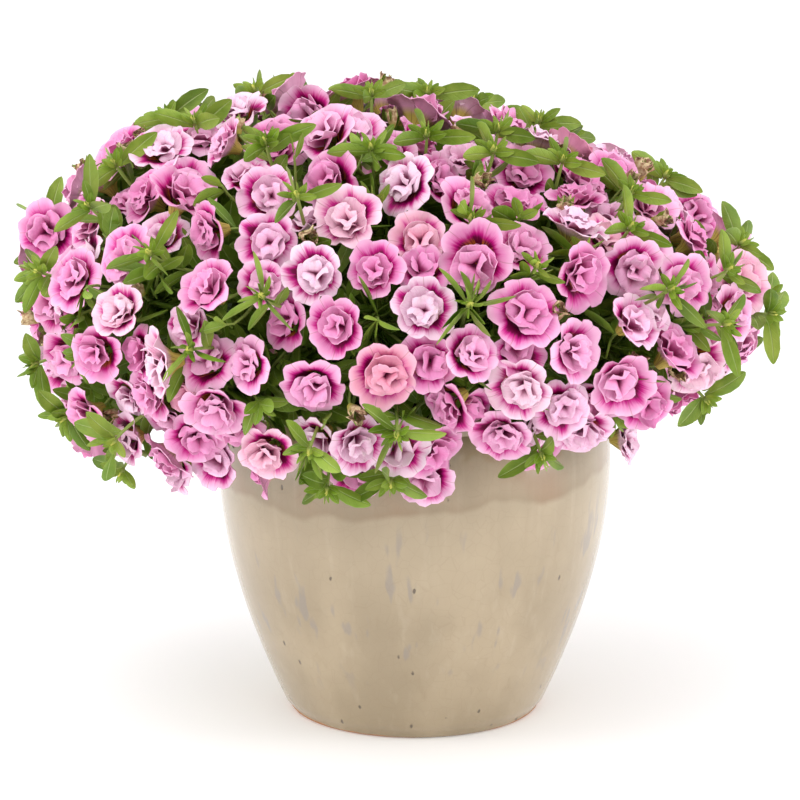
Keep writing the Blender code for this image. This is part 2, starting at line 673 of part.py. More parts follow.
def build_plant(petal, leaf):
    centre, facing, radius, spin = bloom_places()
    place = grown(centre)
    member, middle = spray_members(centre)
    knuckle, tuft, outward = spray_frames(place, member)

    sprays = []
    for number in range(SPRAYS):
        mine = np.flatnonzero(member == number)
        blooms = [(place[i], facing[i], radius[i], spin[i]) for i in mine]
        shape, knuckle[number] = clear_spray(blooms, knuckle[number], tuft[number], outward[number])
        sprays.append(shape)
        solid(f"blooms_{number:02d}", *shape, petal)
    bloom_tree = tree_of(sprays)
    order = np.argsort(-middle[:, 2])
    rank = np.empty(SPRAYS)
    rank[order] = (np.arange(SPRAYS) + 0.5) / SPRAYS
    azimuth = np.arctan2(tuft[:, 1], tuft[:, 0])
    crown = CROWN_RADIUS * np.sqrt(rank)
    holes = np.stack([crown * np.cos(azimuth), crown * np.sin(azimuth)], axis=-1)

    frames = []
    for number in range(SPRAYS):
        towards = unit(knuckle[number] - tuft[number])
        spur_end = knuckle[number] - towards * (0.7947 * KNUCKLE_RADIUS + JOINT_GAP)
        spur = tube_shape([tuft[number], spur_end], [STEM_RADIUS * 1.2, STEM_RADIUS], STEM_SIDES)
        frames.append([tuft_shape(tuft[number], towards), spur])
    tufts = [tree_of(frame) for frame in frames]
    stems = []
    for number in range(SPRAYS):
        others = [tree for n, tree in enumerate(tufts) if n != number]
        stem = clear_stem(holes[number], tuft[number], [bloom_tree, *others, *stems])
        frames[number].append(stem)
        stems.append(tree_of([stem]))

    rng = np.random.default_rng(SHOOT_SEED)
    grow_shoots(shoot_spots(centre, radius, middle), tuft, frames, bloom_tree, rng)
    for number in range(SPRAYS):
        joined(f"stem_{number:02d}", frames[number], leaf)
    return holes


def main():
    clear_scene()
    glaze = material("glaze", (0.56, 0.49, 0.37), 0.18, 0.6)
    earth = material("soil", (0.06, 0.04, 0.03), 0.95)
    petal = material("petal", (0.83, 0.42, 0.66), 0.55)
    leaf = material("leaf", (0.16, 0.33, 0.06), 0.5)
    build_pot(glaze)
    holes = build_plant(petal, leaf)
    build_soil(holes, earth)


main()
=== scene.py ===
import json
import math
from collections import namedtuple

import bmesh
import bpy
import numpy as np
from mathutils import Matrix, Vector, noise

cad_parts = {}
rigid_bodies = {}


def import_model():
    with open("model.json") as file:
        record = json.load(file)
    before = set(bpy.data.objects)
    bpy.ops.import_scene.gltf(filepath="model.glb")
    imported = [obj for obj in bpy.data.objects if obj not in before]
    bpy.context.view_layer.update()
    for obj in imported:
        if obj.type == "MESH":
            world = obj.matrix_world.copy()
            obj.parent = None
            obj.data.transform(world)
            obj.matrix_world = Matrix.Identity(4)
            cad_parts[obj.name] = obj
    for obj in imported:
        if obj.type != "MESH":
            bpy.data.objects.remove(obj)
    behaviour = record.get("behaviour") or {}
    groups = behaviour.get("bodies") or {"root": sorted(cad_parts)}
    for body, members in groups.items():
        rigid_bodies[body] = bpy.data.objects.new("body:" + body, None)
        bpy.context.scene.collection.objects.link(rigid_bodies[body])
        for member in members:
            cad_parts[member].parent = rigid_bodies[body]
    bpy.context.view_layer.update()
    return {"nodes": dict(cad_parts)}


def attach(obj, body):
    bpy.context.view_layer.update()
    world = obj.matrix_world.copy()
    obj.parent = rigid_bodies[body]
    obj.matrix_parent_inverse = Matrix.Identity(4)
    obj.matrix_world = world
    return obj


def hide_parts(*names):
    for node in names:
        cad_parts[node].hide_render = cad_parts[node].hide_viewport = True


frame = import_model()

# The pot: earthenware turned on a wheel, its wall 8 mm thick, dipped in a glossy beige glaze.
# The glaze gathered in a darker band of runs under the rim, and was wiped off the foot, where
# the bare clay shows as a thin line. Three holes drain the floor.

MM = 0.001
pot_height, belly_height = 192 * MM, 148 * MM
base_radius, belly_radius, rim_radius = 72 * MM, 112 * MM, 108 * MM
wall, pot_floor, under_roll = 8 * MM, 11 * MM, 3 * MM
drain_radius, drain_ring, drains = 6 * MM, 38 * MM, 3
pot_sides, drain_sides = 128, 24


def pot_radius(height):
    """The outside radius of the wall: it swells up to the belly and draws in a little above it."""
    if height < belly_height:
        swell = math.sin(height / belly_height * math.pi / 2) ** 0.93
        return base_radius + (belly_radius - base_radius) * swell
    above = (height - belly_height) / (pot_height - belly_height)
    return belly_radius - (belly_radius - rim_radius + under_roll) * above**2


def pot_outline():
    """The turned outline, from the middle of the underside, up the outside and down the inside."""
    foot = [(0, 0), (66 * MM, 0), (69 * MM, 0), (70.8 * MM, 0.5 * MM), (71.8 * MM, 1.6 * MM)]
    outside = [(pot_radius(h * MM), h * MM) for h in (3, 6, 10, *range(16, 178, 6), 179)]
    outside[0] = (base_radius, 3 * MM)
    rim = [(106.9, 182.5), (107.8, 184.6), (108, 186.6), (107.6, 189.4), (106.2, 191.4), (104, 192),
           (101.8, 191.6), (99.6, 190), (98, 187.4), (97.2, 184)]
    inside = [(pot_radius(h * MM) - wall, h * MM) for h in range(176, 10, -6)]
    inside[-1] = (62 * MM, pot_floor)
    return foot + outside + [(r * MM, h * MM) for r, h in rim] + inside + [(0, pot_floor)]


def placed(name, data):
    """A new object in the scene, at the origin."""
    made = bpy.data.objects.new(name, data)
    bpy.context.scene.collection.objects.link(made)
    return made


def turned(name, outline, sides):
    """A shape turned round the upright axis, closed where its outline meets the axis."""
    mesh = bmesh.new()
    turns = [2 * math.pi * k / sides for k in range(sides)]
    rows = []
    for radius, height in outline:
        if radius == 0:
            rows.append([mesh.verts.new((0, 0, height))] * sides)
        else:
            ring = [(radius * math.cos(turn), radius * math.sin(turn), height) for turn in turns]
            rows.append([mesh.verts.new(point) for point in ring])
    for low, high in zip(rows, rows[1:]):
        for k in range(sides):
            ring = [low[k], low[(k + 1) % sides], high[(k + 1) % sides], high[k]]
            mesh.faces.new(list(dict.fromkeys(ring)))
    bmesh.ops.recalc_face_normals(mesh, faces=mesh.faces)
    made = bpy.data.meshes.new(name)
    mesh.to_mesh(made)
    mesh.free()
    return placed(name, made)


class Wire:
    """One output in a tree of nodes. Sums on wires and numbers add their Math nodes."""

    def __init__(self, tree, socket=None):
        self.tree, self.socket = tree, socket

    def node(self, kind, settings=(), values=(), out=0):
        """Adds a node: its settings first, then the numbers or wires of its inputs."""
        made = self.tree.nodes.new(kind)
        for name, value in dict(settings).items():
            if name == "stops":
                while len(made.color_ramp.elements) < len(value):
                    made.color_ramp.elements.new(0.5)
                for element, (stop, shade) in zip(made.color_ramp.elements, value):
                    element.position, element.color = stop, shade
            else:
                setattr(made, name, value)
        for name, value in dict(values).items():
            if isinstance(value, Wire):
                self.tree.links.new(value.socket, made.inputs[name])
            else:
                made.inputs[name].default_value = value
        return Wire(self.tree, made.outputs[out])

    def sum(self, operation, *values):
        return self.node("ShaderNodeMath", {"operation": operation}, enumerate(values))

    def __add__(self, other):
        return self.sum("ADD", self, other)

    def __radd__(self, other):
        return self.sum("ADD", other, self)

    def __sub__(self, other):
        return self.sum("SUBTRACT", self, other)

    def __rsub__(self, other):
        return self.sum("SUBTRACT", other, self)

    def __mul__(self, other):
        return self.sum("MULTIPLY", self, other)

    def __rmul__(self, other):
        return self.sum("MULTIPLY", other, self)

    def between(self, low, high):
        """0 below low and 1 above high, smoothly between them."""
        values = {"Value": self, "From Min": low, "From Max": high}
        return self.node("ShaderNodeMapRange", {"interpolation_type": "SMOOTHSTEP"}, values)

    def vector(self, operation, *values, out=0):
        return self.node("ShaderNodeVectorMath", {"operation": operation}, enumerate(values), out)

    def joined(self, x=0.0, y=0.0, z=0.0):
        """The vector of three numbers."""
        return self.node("ShaderNodeCombineXYZ", {}, {0: x, 1: y, 2: z})

    def parts(self):
        """The three numbers of this vector."""
        split = self.node("ShaderNodeSeparateXYZ", {}, {0: self}).socket.node
        return [Wire(self.tree, split.outputs[k]) for k in range(3)]

    def noise(self, place, scale, detail=2.0, roughness=0.5, out=0):
        values = {"Vector": place, "Scale": scale, "Detail": detail, "Roughness": roughness}
        return self.node("ShaderNodeTexNoise", {}, values, out)

    def place(self):
        """Where a point of the surface lies on the piece."""
        return self.node("ShaderNodeTexCoord", out=3)

    def mixed(self, share, low, high):
        """One colour going over to another as the share goes from 0 to 1."""
        return self.node("ShaderNodeMix", {"data_type": "RGBA"}, {0: share, 6: low, 7: high}, 2)

    def under(self, share, shade):
        """This colour, covered by another one by this share."""
        return self.mixed(share, self, shade)


def colour(red, green, blue):
    """A colour as seen on a screen, 0 to 255, as light."""
    seen = [value / 255 for value in (red, green, blue)]
    return tuple(v / 12.92 if v < 0.04045 else ((v + 0.055) / 1.055) ** 2.4 for v in seen) + (1,)


def finish(name, **constants):
    """A new material: its first wire, and its surface shader with the given constants."""
    made = bpy.data.materials.new(name)
    made.use_nodes = True
    shader = made.node_tree.nodes["Principled BSDF"]
    for socket, value in constants.items():
        shader.inputs[socket.replace("_", " ").title().replace("Ior", "IOR")].default_value = value
    return made, Wire(made.node_tree), shader


def wear(shader, socket, wire):
    """Feeds a wire into one socket of the surface shader."""
    wire.tree.links.new(wire.socket, shader.inputs[socket])


def bumped(shader, height, depth, strength):
    """Raises and lowers the surface by a wire's height, in metres of depth."""
    values = {"Height": height, "Distance": depth, "Strength": strength}
    wear(shader, "Normal", height.node("ShaderNodeBump", {}, values))


def belongs(piece, slot, *nodes):
    """The piece stands on the plant's one body, in place of these solids."""
    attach(piece, "root")
    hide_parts(*nodes)


def glaze_finish():
    made, w, shader = finish("beige_glaze", coat_roughness=0.05, ior=1.5)
    place = w.place()
    x, y, height = place.parts()
    # the glaze ran as it melted: its streaks are long in height and narrow round the pot
    drawn_out = w.joined(x, y, height * 0.05)
    runs = w.noise(drawn_out, 140, 3, 0.6)
    wide_runs = w.noise(drawn_out, 26, 2, 0.5)
    cloud = w.noise(place, 15, 3, 0.55)
    speck = w.noise(place, 420, 2, 0.6)
    thin = (cloud + 0.6 * (wide_runs - 0.5)).between(0.32, 0.70)
    tone = w.mixed(thin, colour(160, 143, 116), colour(178, 160, 132))
    tone = tone.under(runs.between(0.52, 0.78) * 0.22, colour(198, 182, 158))
    tone = tone.under((1 - runs).between(0.56, 0.8) * 0.24, colour(146, 126, 96))
    # it gathered in a darker band under the rim, whose lower edge hangs in slow waves
    above = height - (0.143 + 0.022 * (wide_runs - 0.5) + 0.050 * (w.noise(place, 6, 1) - 0.5))
    band = above.between(-0.002, 0.0025)
    tone = tone.under(band * (0.08 + 0.42 * cloud.between(0.42, 0.60)), colour(154, 114, 82))
    tone = tone.under(band * (1 - above.between(0.001, 0.008)) * 0.2, colour(128, 106, 74))
    # below the band it lies pale and thick, and thins towards the foot
    tone = tone.under((1 - band) * height.between(0.07, 0.125) * 0.35, colour(188, 170, 142))
    tone = tone.under((1 - height.between(0.0, 0.06)) * 0.30, colour(152, 134, 104))
    # blue-grey streaks and dark pits, where the clay's iron came through
    streaks = w.noise(w.joined(x, y, height * 0.22), 105, 2, 0.5).between(0.60, 0.68)
    bluish = streaks * (1 - above.between(-0.02, 0.0)) * height.between(0.02, 0.06)
    tone = tone.under(bluish * 0.42, colour(134, 130, 132))
    cells = {"Vector": w.joined(x, y, height * 0.5), "Scale": 110, "Randomness": 1.0}
    chips = w.node("ShaderNodeTexVoronoi", {"feature": "F1"}, cells)
    draw = Wire(w.tree, chips.socket.node.outputs["Color"]).parts()[0]
    rare = (draw + 0.45 * (1 - height.between(0.01, 0.03))).between(0.72, 0.76)
    pits = (1 - (chips + 0.12 * (speck - 0.5)).between(0.07, 0.12)) * rare
    tone = tone.under(pits * 0.85, colour(88, 76, 62))
    # crackle: fine lines in the glaze
    cells = {"Vector": place, "Scale": 150}
    lines = 1 - w.node("ShaderNodeTexVoronoi", {"feature": "DISTANCE_TO_EDGE"}, cells).between(0.0, 0.035)
    tone = tone.under(lines * 0.10, colour(126, 106, 78))
    # the wiped foot and the underside: bare orange clay
    wiped = 0.0020 * (w.noise(place, 60, 1) - 0.5) + 0.009 * (w.noise(place, 9, 0) - 0.5)
    bare = 1 - (height + wiped).between(0.0019, 0.0028)
    tone = tone.under(bare, w.mixed(speck, colour(168, 116, 76), colour(190, 142, 102)))
    wear(shader, "Base Color", tone)
    wear(shader, "Roughness", 0.13 + 0.10 * cloud + 0.62 * bare + 0.2 * pits)
    wear(shader, "Coat Weight", 0.35 * (1 - bare))
    bumped(shader, 0.5 * wide_runs + 0.25 * cloud + 0.05 * speck - 0.5 * pits - 0.02 * lines, 0.0012, 0.6)
    return made


def settled(piece):
    """The piece with its modifiers worked into its mesh, and none left on it."""
    bpy.context.view_layer.update()
    depsgraph = bpy.context.evaluated_depsgraph_get()
    seen = piece.evaluated_get(depsgraph)
    mesh = bpy.data.meshes.new_from_object(seen, preserve_all_data_layers=True, depsgraph=depsgraph)
    old = piece.data
    piece.modifiers.clear()
    piece.data = mesh
    mesh.name = piece.name
    if old.users == 0:
        bpy.data.meshes.remove(old)
    return piece


pot = turned("glazed_pot", pot_outline(), pot_sides)
drills = []
for k in range(drains):
    turn = math.radians(90 + 360 / drains * k)
    outline = [(0, -5 * MM), (drain_radius, -5 * MM), (drain_radius, 16 * MM), (0, 16 * MM)]
    drill = turned("drain", outline, drain_sides)
    drill.data.transform(Matrix.Translation((drain_ring * math.cos(turn), drain_ring * math.sin(turn), 0)))
    hole = pot.modifiers.new("hole", "BOOLEAN")
    hole.object, hole.operation, hole.solver = drill, "DIFFERENCE", "EXACT"
    drills.append(drill)
settled(pot)
for drill in drills:
    bpy.data.objects.remove(drill)
pot.data.materials.append(glaze_finish())
pot.data.shade_smooth()
pot.data.set_sharp_from_angle(angle=math.radians(40))
belongs(pot, "glaze", "pot")

# The soil: dark peat that fills the pot to 22 mm below its rim, heaped a little round the
# crown of the plant, with crumbs of bark and peat lying loose on top.

soil_top, soil_gap, soil_sides = 170 * MM, 0.3 * MM, 72


def soil_finish():
    made, w, shader = finish("peat", roughness=0.95)
    grain = w.noise(w.place(), 260, 4, 0.7)
    wear(shader, "Base Color", w.mixed(grain.between(0.35, 0.7), colour(38, 27, 20), colour(92, 68, 48)))
    bumped(shader, grain, 0.0015, 0.8)
    return made


def rule(name, inputs):
    """An empty Geometry Nodes tree with named inputs: the tree, its first wire and its inputs."""
    tree = bpy.data.node_groups.new(name, "GeometryNodeTree")
    tree.interface.new_socket("Geometry", in_out="INPUT", socket_type="NodeSocketGeometry")
    for label, kind, start in inputs:
        made = tree.interface.new_socket(label, in_out="INPUT", socket_type="NodeSocket" + kind)
        if start is not None:
            made.default_value = start
    tree.interface.new_socket("Geometry", in_out="OUTPUT", socket_type="NodeSocketGeometry")
    given = tree.nodes.new("NodeGroupInput")
    return tree, Wire(tree), {s.name: Wire(tree, s) for s in given.outputs if s.name}


def hand_out(w, shape, finish_made):
    """Makes a shape the tree's result: plain faces, with this finish."""
    real = w.node("GeometryNodeRealizeInstances", {}, {0: shape})
    done = w.node("GeometryNodeSetMaterial", {}, {"Geometry": real, "Material": finish_made})
    w.tree.links.new(done.socket, w.tree.nodes.new("NodeGroupOutput").inputs[0])


def grown_by(tree, piece, **sizes):
    """Runs a tree on a piece with these inputs, and leaves the plain mesh that it makes."""
    rules = piece.modifiers.new("rule", "NODES")
    rules.node_group = tree
    for socket in tree.interface.items_tree:
        key = socket.name.lower().replace(" ", "_")
        if socket.in_out == "INPUT" and key in sizes:
            rules[socket.identifier] = sizes[key]
    return settled(piece)


def crumb_rule():
    """Loose crumbs of many sizes, lying every way round on what faces up."""
    tree, w, given = rule("loose crumbs", [
        ("Crumb size", "Float", 2.4 * MM), ("Crumbs per square metre", "Float", 10000.0),
        ("Seed", "Int", 3), ("Finish", "Material", None)])
    up = w.node("GeometryNodeInputNormal").parts()[2]
    spots = w.node("GeometryNodeDistributePointsOnFaces", {}, {
        "Mesh": given["Geometry"], "Density": given["Crumbs per square metre"], "Seed": given["Seed"],
        "Selection": w.node("FunctionNodeCompare", {"operation": "GREATER_THAN"}, {0: up, 1: 0.6})})
    crumb = w.node("GeometryNodeMeshIcoSphere", {}, {"Radius": given["Crumb size"], "Subdivisions": 1})
    random = {"data_type": "FLOAT_VECTOR"}
    size = w.node("FunctionNodeRandomValue", random, {0: (0.3, 0.3, 0.2), 1: (1.0, 0.8, 0.6), "Seed": 5})
    lie = w.node("FunctionNodeRandomValue", random, {0: (0.0, 0.0, 0.0), 1: (6.2, 6.2, 6.2), "Seed": 8})
    heap = w.node("GeometryNodeInstanceOnPoints", {},
                  {"Points": spots, "Instance": crumb, "Rotation": lie, "Scale": size})
    both = tree.nodes.new("GeometryNodeJoinGeometry")
    for shape in (given["Geometry"], heap):
        tree.links.new(shape.socket, both.inputs[0])
    hand_out(w, Wire(tree, both.outputs[0]), given["Finish"])
    return tree


def soil_outline():
    under = [(0, pot_floor + soil_gap), (61 * MM, pot_floor + soil_gap)]
    side = [(pot_radius(h * MM) - wall - 0.5 * MM, h * MM) for h in range(20, 168, 12)]
    edge = [(pot_radius(168 * MM) - wall - 2 * soil_gap, 167.5 * MM)]
    return under + side + edge + [(r * MM, soil_top) for r in range(96, -1, -6)]


soil = turned("peat_soil", soil_outline(), soil_sides)
for point in soil.data.vertices:
    if point.co.z > soil_top - 1 * MM:
        out = math.hypot(point.co.x, point.co.y)
        lump = noise.noise(point.co * 90) * 1.6 + noise.noise(point.co * 260) * 0.8
        point.co.z += (lump + 2.5 * math.cos(min(out / 0.1, 1) * math.pi / 2) - 1.5) * MM
grown_by(crumb_rule(), soil, finish=soil_finish())
soil.data.shade_smooth()
belongs(soil, "soil", "soil")

# The branches: 24 soft green stems rise from the crown in the soil and fan out. Each forks into
# leafy shoots, and into thin stalks that carry its spray. In the gaps between the open blooms
# stand younger ones, leafy side shoots, and spent blooms that hang on.

sprays = 24
mound_centre = np.array([-6, 0, 240]) * MM
mound_reach, mound_rise = 201 * MM, 106 * MM
hang_height = 190 * MM  # what stands lower hangs over the pot's rim
bloom_room, spent_room, most_spent = 20.5 * MM, 16.2 * MM, 60
over_rim = [(-133, -80, 159), (118, -80, 176), (-31, -136, 170), (6, -137, 167), (66, -124, 181)]
# how the solids are made: where a bloom's raised middle lies in it, and what tells a bud from a leaf
middle_ring, middle_drop, lobe_turn = 0.5049, 0.17, math.radians(-9)
bud_rise, leafy_height = 4.6 * MM, 151 * MM

Bloom = namedtuple("Bloom", "spray middle facing lobe radius knuckle")
Head = namedtuple("Head", "spray middle facing knuckle")


def unit(vector):
    return np.asarray(vector) / np.linalg.norm(vector)


def outward(point):
    """The way out of the mound at a point of it."""
    return unit((np.asarray(point) - mound_centre) / np.array([mound_reach, mound_reach, mound_rise]) ** 2)


def corners(node):
    """The corner points of a solid, each once, and the points that each is joined to."""
    mesh = bmesh.new()
    mesh.from_mesh(frame["nodes"][node].data)
    bmesh.ops.remove_doubles(mesh, verts=mesh.verts, dist=1e-5)
    mesh.verts.index_update()
    points = np.array([v.co for v in mesh.verts])
    joined = [{e.other_vert(v).index for e in v.link_edges} for v in mesh.verts]
    mesh.free()
    return points, joined


def beyond(ring, joined, known=()):
    """The points next to a ring, leaving out the ring and those that are known."""
    return set().union(*(joined[i] for i in ring)) - set(ring) - set(known)


def blooms_of(spray):
    """The blooms of a spray, where its solid has them: each has a top point joined to five others."""
    points, joined = corners(f"blooms_{spray:02d}")
    found, used = [], set()
    for i, near in enumerate(joined):
        reach = [np.linalg.norm(points[n] - points[i]) for n in near]
        if len(near) != 5 or min(reach) < 7.6 * MM or max(reach) - min(reach) > 0.05 * MM:
            continue
        radius = np.mean(reach) / middle_ring
        ring = points[list(near)].mean(axis=0)
        facing = unit(ring - points[i])
        first = points[list(near)[0]] - ring
        lobe = unit(math.cos(lobe_turn) * first + math.sin(lobe_turn) * np.cross(facing, first))
        layer, taken = {i}, {i}
        for step in range(4):
            layer = beyond(layer, joined, taken)
            taken |= layer
        used |= taken
        found.append([ring - middle_drop * radius * facing, facing, lobe, radius])
    knuckle = points[[i for i in range(len(points)) if i not in used]].mean(axis=0)
    return [Bloom(spray, *bloom, knuckle) for bloom in found]


spray_blooms = [blooms_of(spray) for spray in range(sprays)]
rng = np.random.default_rng(9)
open_blooms = []  # each nods a little to one side of where its solid faces
for bloom in sum(spray_blooms, []):
    aside = unit((bloom.middle - mound_centre) * (1, 1, 0))
    nod = unit(bloom.facing + 0.35 * max(bloom.facing[2], 0) ** 2 * aside + rng.normal(0, 0.24, 3))
    open_blooms.append(bloom._replace(facing=nod, lobe=unit(bloom.lobe - (bloom.lobe @ nod) * nod)))


def gaps_between(heads, room):
    """The middles of the widest gaps between some heads, widest first, down to this room."""
    taken = np.array([head.middle for head in heads])
    apart = np.linalg.norm(taken[:, None] - taken[None], axis=2)
    first, second = np.nonzero(np.triu((apart > 24 * MM) & (apart < 70 * MM)))
    spots = (taken[first] + taken[second]) / 2
    past_rim = np.hypot(spots[:, 0], spots[:, 1]) > 131 * MM
    spots = spots[(spots[:, 2] > 222 * MM) | (past_rim & (spots[:, 2] > 165 * MM))]
    gap = np.linalg.norm(spots[:, None] - taken[None], axis=2).min(axis=1)
    found = []
    while gap.max() > room:
        spot = spots[gap.argmax()]
        found.append(spot)
        gap = np.minimum(gap, np.linalg.norm(spots - spot, axis=1))
    return found


def near_bloom(spot):
    """The open bloom next to a spot."""
    return min(open_blooms, key=lambda bloom: np.linalg.norm(bloom.middle - spot))


rng = np.random.default_rng(12)
young_blooms, side_shoots = [], []
hanging = [np.array(spot) * MM for spot in over_rim]
for number, spot in enumerate(gaps_between(open_blooms, bloom_room) + hanging):
    near = near_bloom(spot)
    if number % 5 in (1, 3) and spot[2] > hang_height:
        rise = (rng.uniform(1, 7) - (0 if spot[2] > 250 * MM else 9)) * MM
        axis = unit(outward(spot) + rng.normal(0, 0.3, 3))
        side_shoots.append(Head(near.spray, spot + rise * outward(spot), axis, near.knuckle))
        continue
    if spot[2] > hang_height:  # half under its neighbours
        way, spread, depth = outward(spot), 0.45, rng.uniform(3, 9) * MM
    else:  # one that hangs over the rim faces straight out
        way, spread, depth = unit((spot[0], spot[1], 0.03)), 0.2, 0
    facing = unit(0.6 * near.facing + way + rng.normal(0, spread, 3))
    lobe = unit(np.cross(facing, rng.normal(size=3)))
    radius = rng.uniform(13.5, 17) * MM
    young_blooms.append(Bloom(near.spray, spot - depth * way, facing, lobe, radius, near.knuckle))
all_blooms = open_blooms + young_blooms
bloom_middles, bloom_facings, bloom_radii = (
    np.array([getattr(bloom, part) for bloom in all_blooms]) for part in ("middle", "facing", "radius"))

withered = []
spent_spots = [spot for spot in gaps_between(all_blooms + side_shoots, spent_room) if spot[2] > 200 * MM]
for spot in spent_spots[:most_spent]:
    near = near_bloom(spot)
    middle = spot + rng.uniform(6, 12) * MM * outward(spot)
    withered.append(Head(near.spray, middle, unit(outward(spot) + rng.normal(0, 0.5, 3)), near.knuckle))


def branch_of(spray):
    """One branch: its main stem's points, its buds (top, axis), and its leaves, as blade() takes them."""
    points, joined = corners(f"stem_{spray:02d}")
    middle = np.array([bloom.middle for bloom in spray_blooms[spray]]).mean(axis=0)
    heart = mound_centre + (middle - mound_centre) * np.array([0.45, 0.45, 0.2])
    tuft = middle - 66 * MM * unit(middle - heart)
    tuft[2] = max(tuft[2], 224 * MM)
    foot = np.argsort(points[:, 2])[:3]
    start = beyond(foot, joined)
    bend = beyond(start, joined, foot)
    stem = [points[list(ring)].mean(axis=0) for ring in (foot, start, bend)] + [tuft]
    peaks = []
    for i, near in enumerate(joined):
        if len(near) == 3 and points[i][2] > leafy_height and all(near - {n} <= joined[n] for n in near):
            peaks.append((i, near, np.linalg.norm(points[list(near)].mean(axis=0) - points[i])))
    tops = [(points[i], unit(points[i] - points[list(near)].mean(axis=0)))
            for i, near, high in peaks if high < bud_rise]
    leaves = []
    for i, near, high in peaks:
        if high < bud_rise:
            continue
        pairs = ((a, b) for a in near for b in near)
        one, other = max(pairs, key=lambda pair: np.linalg.norm(points[pair[0]] - points[pair[1]]))
        root_ring = beyond(near, joined, {i})
        root = points[list(root_ring)].mean(axis=0)
        share, spread = 0.52, 1.0
        if min(np.linalg.norm(root - top) for top, axis in tops) > 7 * MM:  # it has one more ring
            root = points[list(beyond(root_ring, joined, near))].mean(axis=0)
            share, spread = 0.76, 0.84
        side = points[one] - points[other]
        section = (points[one] + points[other]) / 2
        leaves.append((root, points[i], section, share, side, np.linalg.norm(side) / spread))
    return stem, tops, leaves


branches = [branch_of(spray) for spray in range(sprays)]


def bezier(start, pull, push, end, count):
    """Points on a smooth curve that leaves start towards pull and reaches end from push."""
    t = np.linspace(0, 1, count)[:, None]
    return (1 - t) ** 3 * start + 3 * (1 - t) ** 2 * t * pull + 3 * (1 - t) * t**2 * push + t**3 * end


def stored(mesh, field, values):
    """Keeps a whole number, a number or a vector for each point of a mesh."""
    values = np.asarray(values)
    kind = "INT" if values.dtype.kind == "i" else "FLOAT_VECTOR" if values.ndim == 2 else "FLOAT"
    values = values.astype(np.int32 if kind == "INT" else np.float32)
    layer = mesh.attributes.new(field, kind, "POINT")
    layer.data.foreach_set("vector" if values.ndim == 2 else "value", values.ravel())


class Lines:
    """Routes for stems or blades: points joined in a row, each with its half width, face and tints."""

    def __init__(self):
        self.points, self.edges, self.fields = [], [], {}

    def add(self, route, **fields):
        first = len(self.points)
        self.points.extend(route)
        self.edges.extend((first + k, first + k + 1) for k in range(len(route) - 1))
        for name, values in fields.items():
            values = np.asarray(values, float)
            if values.ndim == 0:
                values = np.broadcast_to(values, len(route))
            self.fields.setdefault(name, []).extend(values)

    def stem(self, route, thick, thin, old, young):
        """Adds a stem that thins evenly along its route, in mm, as its tint turns from old to young."""
        count = len(route)
        widths = np.linspace(thick, thin, count) * MM
        self.add(route, half_width=widths, young=np.linspace(old, young, count))

    def piece(self, name):
        mesh = bpy.data.meshes.new(name)
        mesh.from_pydata([tuple(point) for point in self.points], self.edges, [])
        for field, values in self.fields.items():
            stored(mesh, field, values)
        return placed(name, mesh)


def field(w, name, kind="FLOAT"):
    """What each point of a piece says under a name, in a tree of Geometry Nodes."""
    return w.node("GeometryNodeInputNamedAttribute", {"data_type": kind}, {"Name": name})


def attribute(w, name, out=2):
    """The same in a material: a number, or a vector with out=1."""
    return w.node("ShaderNodeAttribute", {"attribute_name": name}, out=out)


def soft(w, shape):
    """Shades a shape smooth, but for its sharp rims."""
    turn = w.node("GeometryNodeInputMeshEdgeAngle")
    rim = w.node("FunctionNodeCompare", {"operation": "GREATER_THAN"}, {0: turn, 1: 1.2})
    shape = w.node("GeometryNodeSetShadeSmooth", {"domain": "FACE"}, {"Geometry": shape})
    values = {"Geometry": shape, "Selection": rim, "Shade Smooth": False}
    return w.node("GeometryNodeSetShadeSmooth", {"domain": "EDGE"}, values)


def swept(w, lines, ring):
    """A ring swept along lines, as wide as each point says, with closed ends."""
    values = {"Curve": lines, "Profile Curve": ring, "Scale": field(w, "half_width"), "Fill Caps": True}
    return soft(w, w.node("GeometryNodeCurveToMesh", {}, values))


def ring_of(w, count):
    """A ring of radius 1 with this many corners."""
    values = {"Resolution": count, "Radius": 1.0}
    return w.node("GeometryNodeCurvePrimitiveCircle", {"mode": "RADIUS"}, values)


def stalk_rule():
    """Round stems swept along their routes."""
    tree, w, given = rule("stems along routes", [("Sides", "Int", 6), ("Finish", "Material", None)])
    lines = w.node("GeometryNodeMeshToCurve", {}, {"Mesh": given["Geometry"]})
    hand_out(w, swept(w, lines, ring_of(w, given["Sides"])), given["Finish"])
    return tree


def stem_finish():
    made, w, shader = finish("green_stem", roughness=0.55)
    place, young = w.place(), attribute(w, "young")
    tone = w.mixed(w.noise(place, 90, 2), colour(92, 98, 50), colour(128, 132, 68))
    tone = tone.under(young, colour(142, 164, 76))
    tone = tone.under(young.between(1.0, 2.0), colour(206, 204, 92))
    wear(shader, "Base Color", tone)
    bumped(shader, w.noise(place, 900, 2), 0.0002, 0.6)
    return made


# The leaves: soft narrow blades 8 to 30 mm long, widest past the middle, with a sunk midrib.
# They stand alternately up each shoot, close into a pale young whorl round the bud at its tip,
# and fill the shade inside. Each branch is made here with them, as they grow out of its stems.

blade_shares = np.array([0, 0.12, 0.3, 0.5, 0.7, 0.86, 0.96, 1.0])
blade_spread = np.array([0.16, 0.42, 0.84, 1.0, 0.93, 0.62, 0.3, 0.05])
golden = math.pi * (3 - math.sqrt(5))
shade_leaves, whorl_leaves, side_leaves, sepals = 110, 10, 11, 5
shoot_steps, stalk_steps = 14, 9
bud_heights = (-1.6, -0.6, 0.8, 2.2, 3.4, 4.2)
bud_widths = np.array([0.9, 2.0, 2.5, 2.1, 1.2, 0.3]) * MM
bud_tints = [0.6, 0.9, 1.2, 1.6, 2, 2]


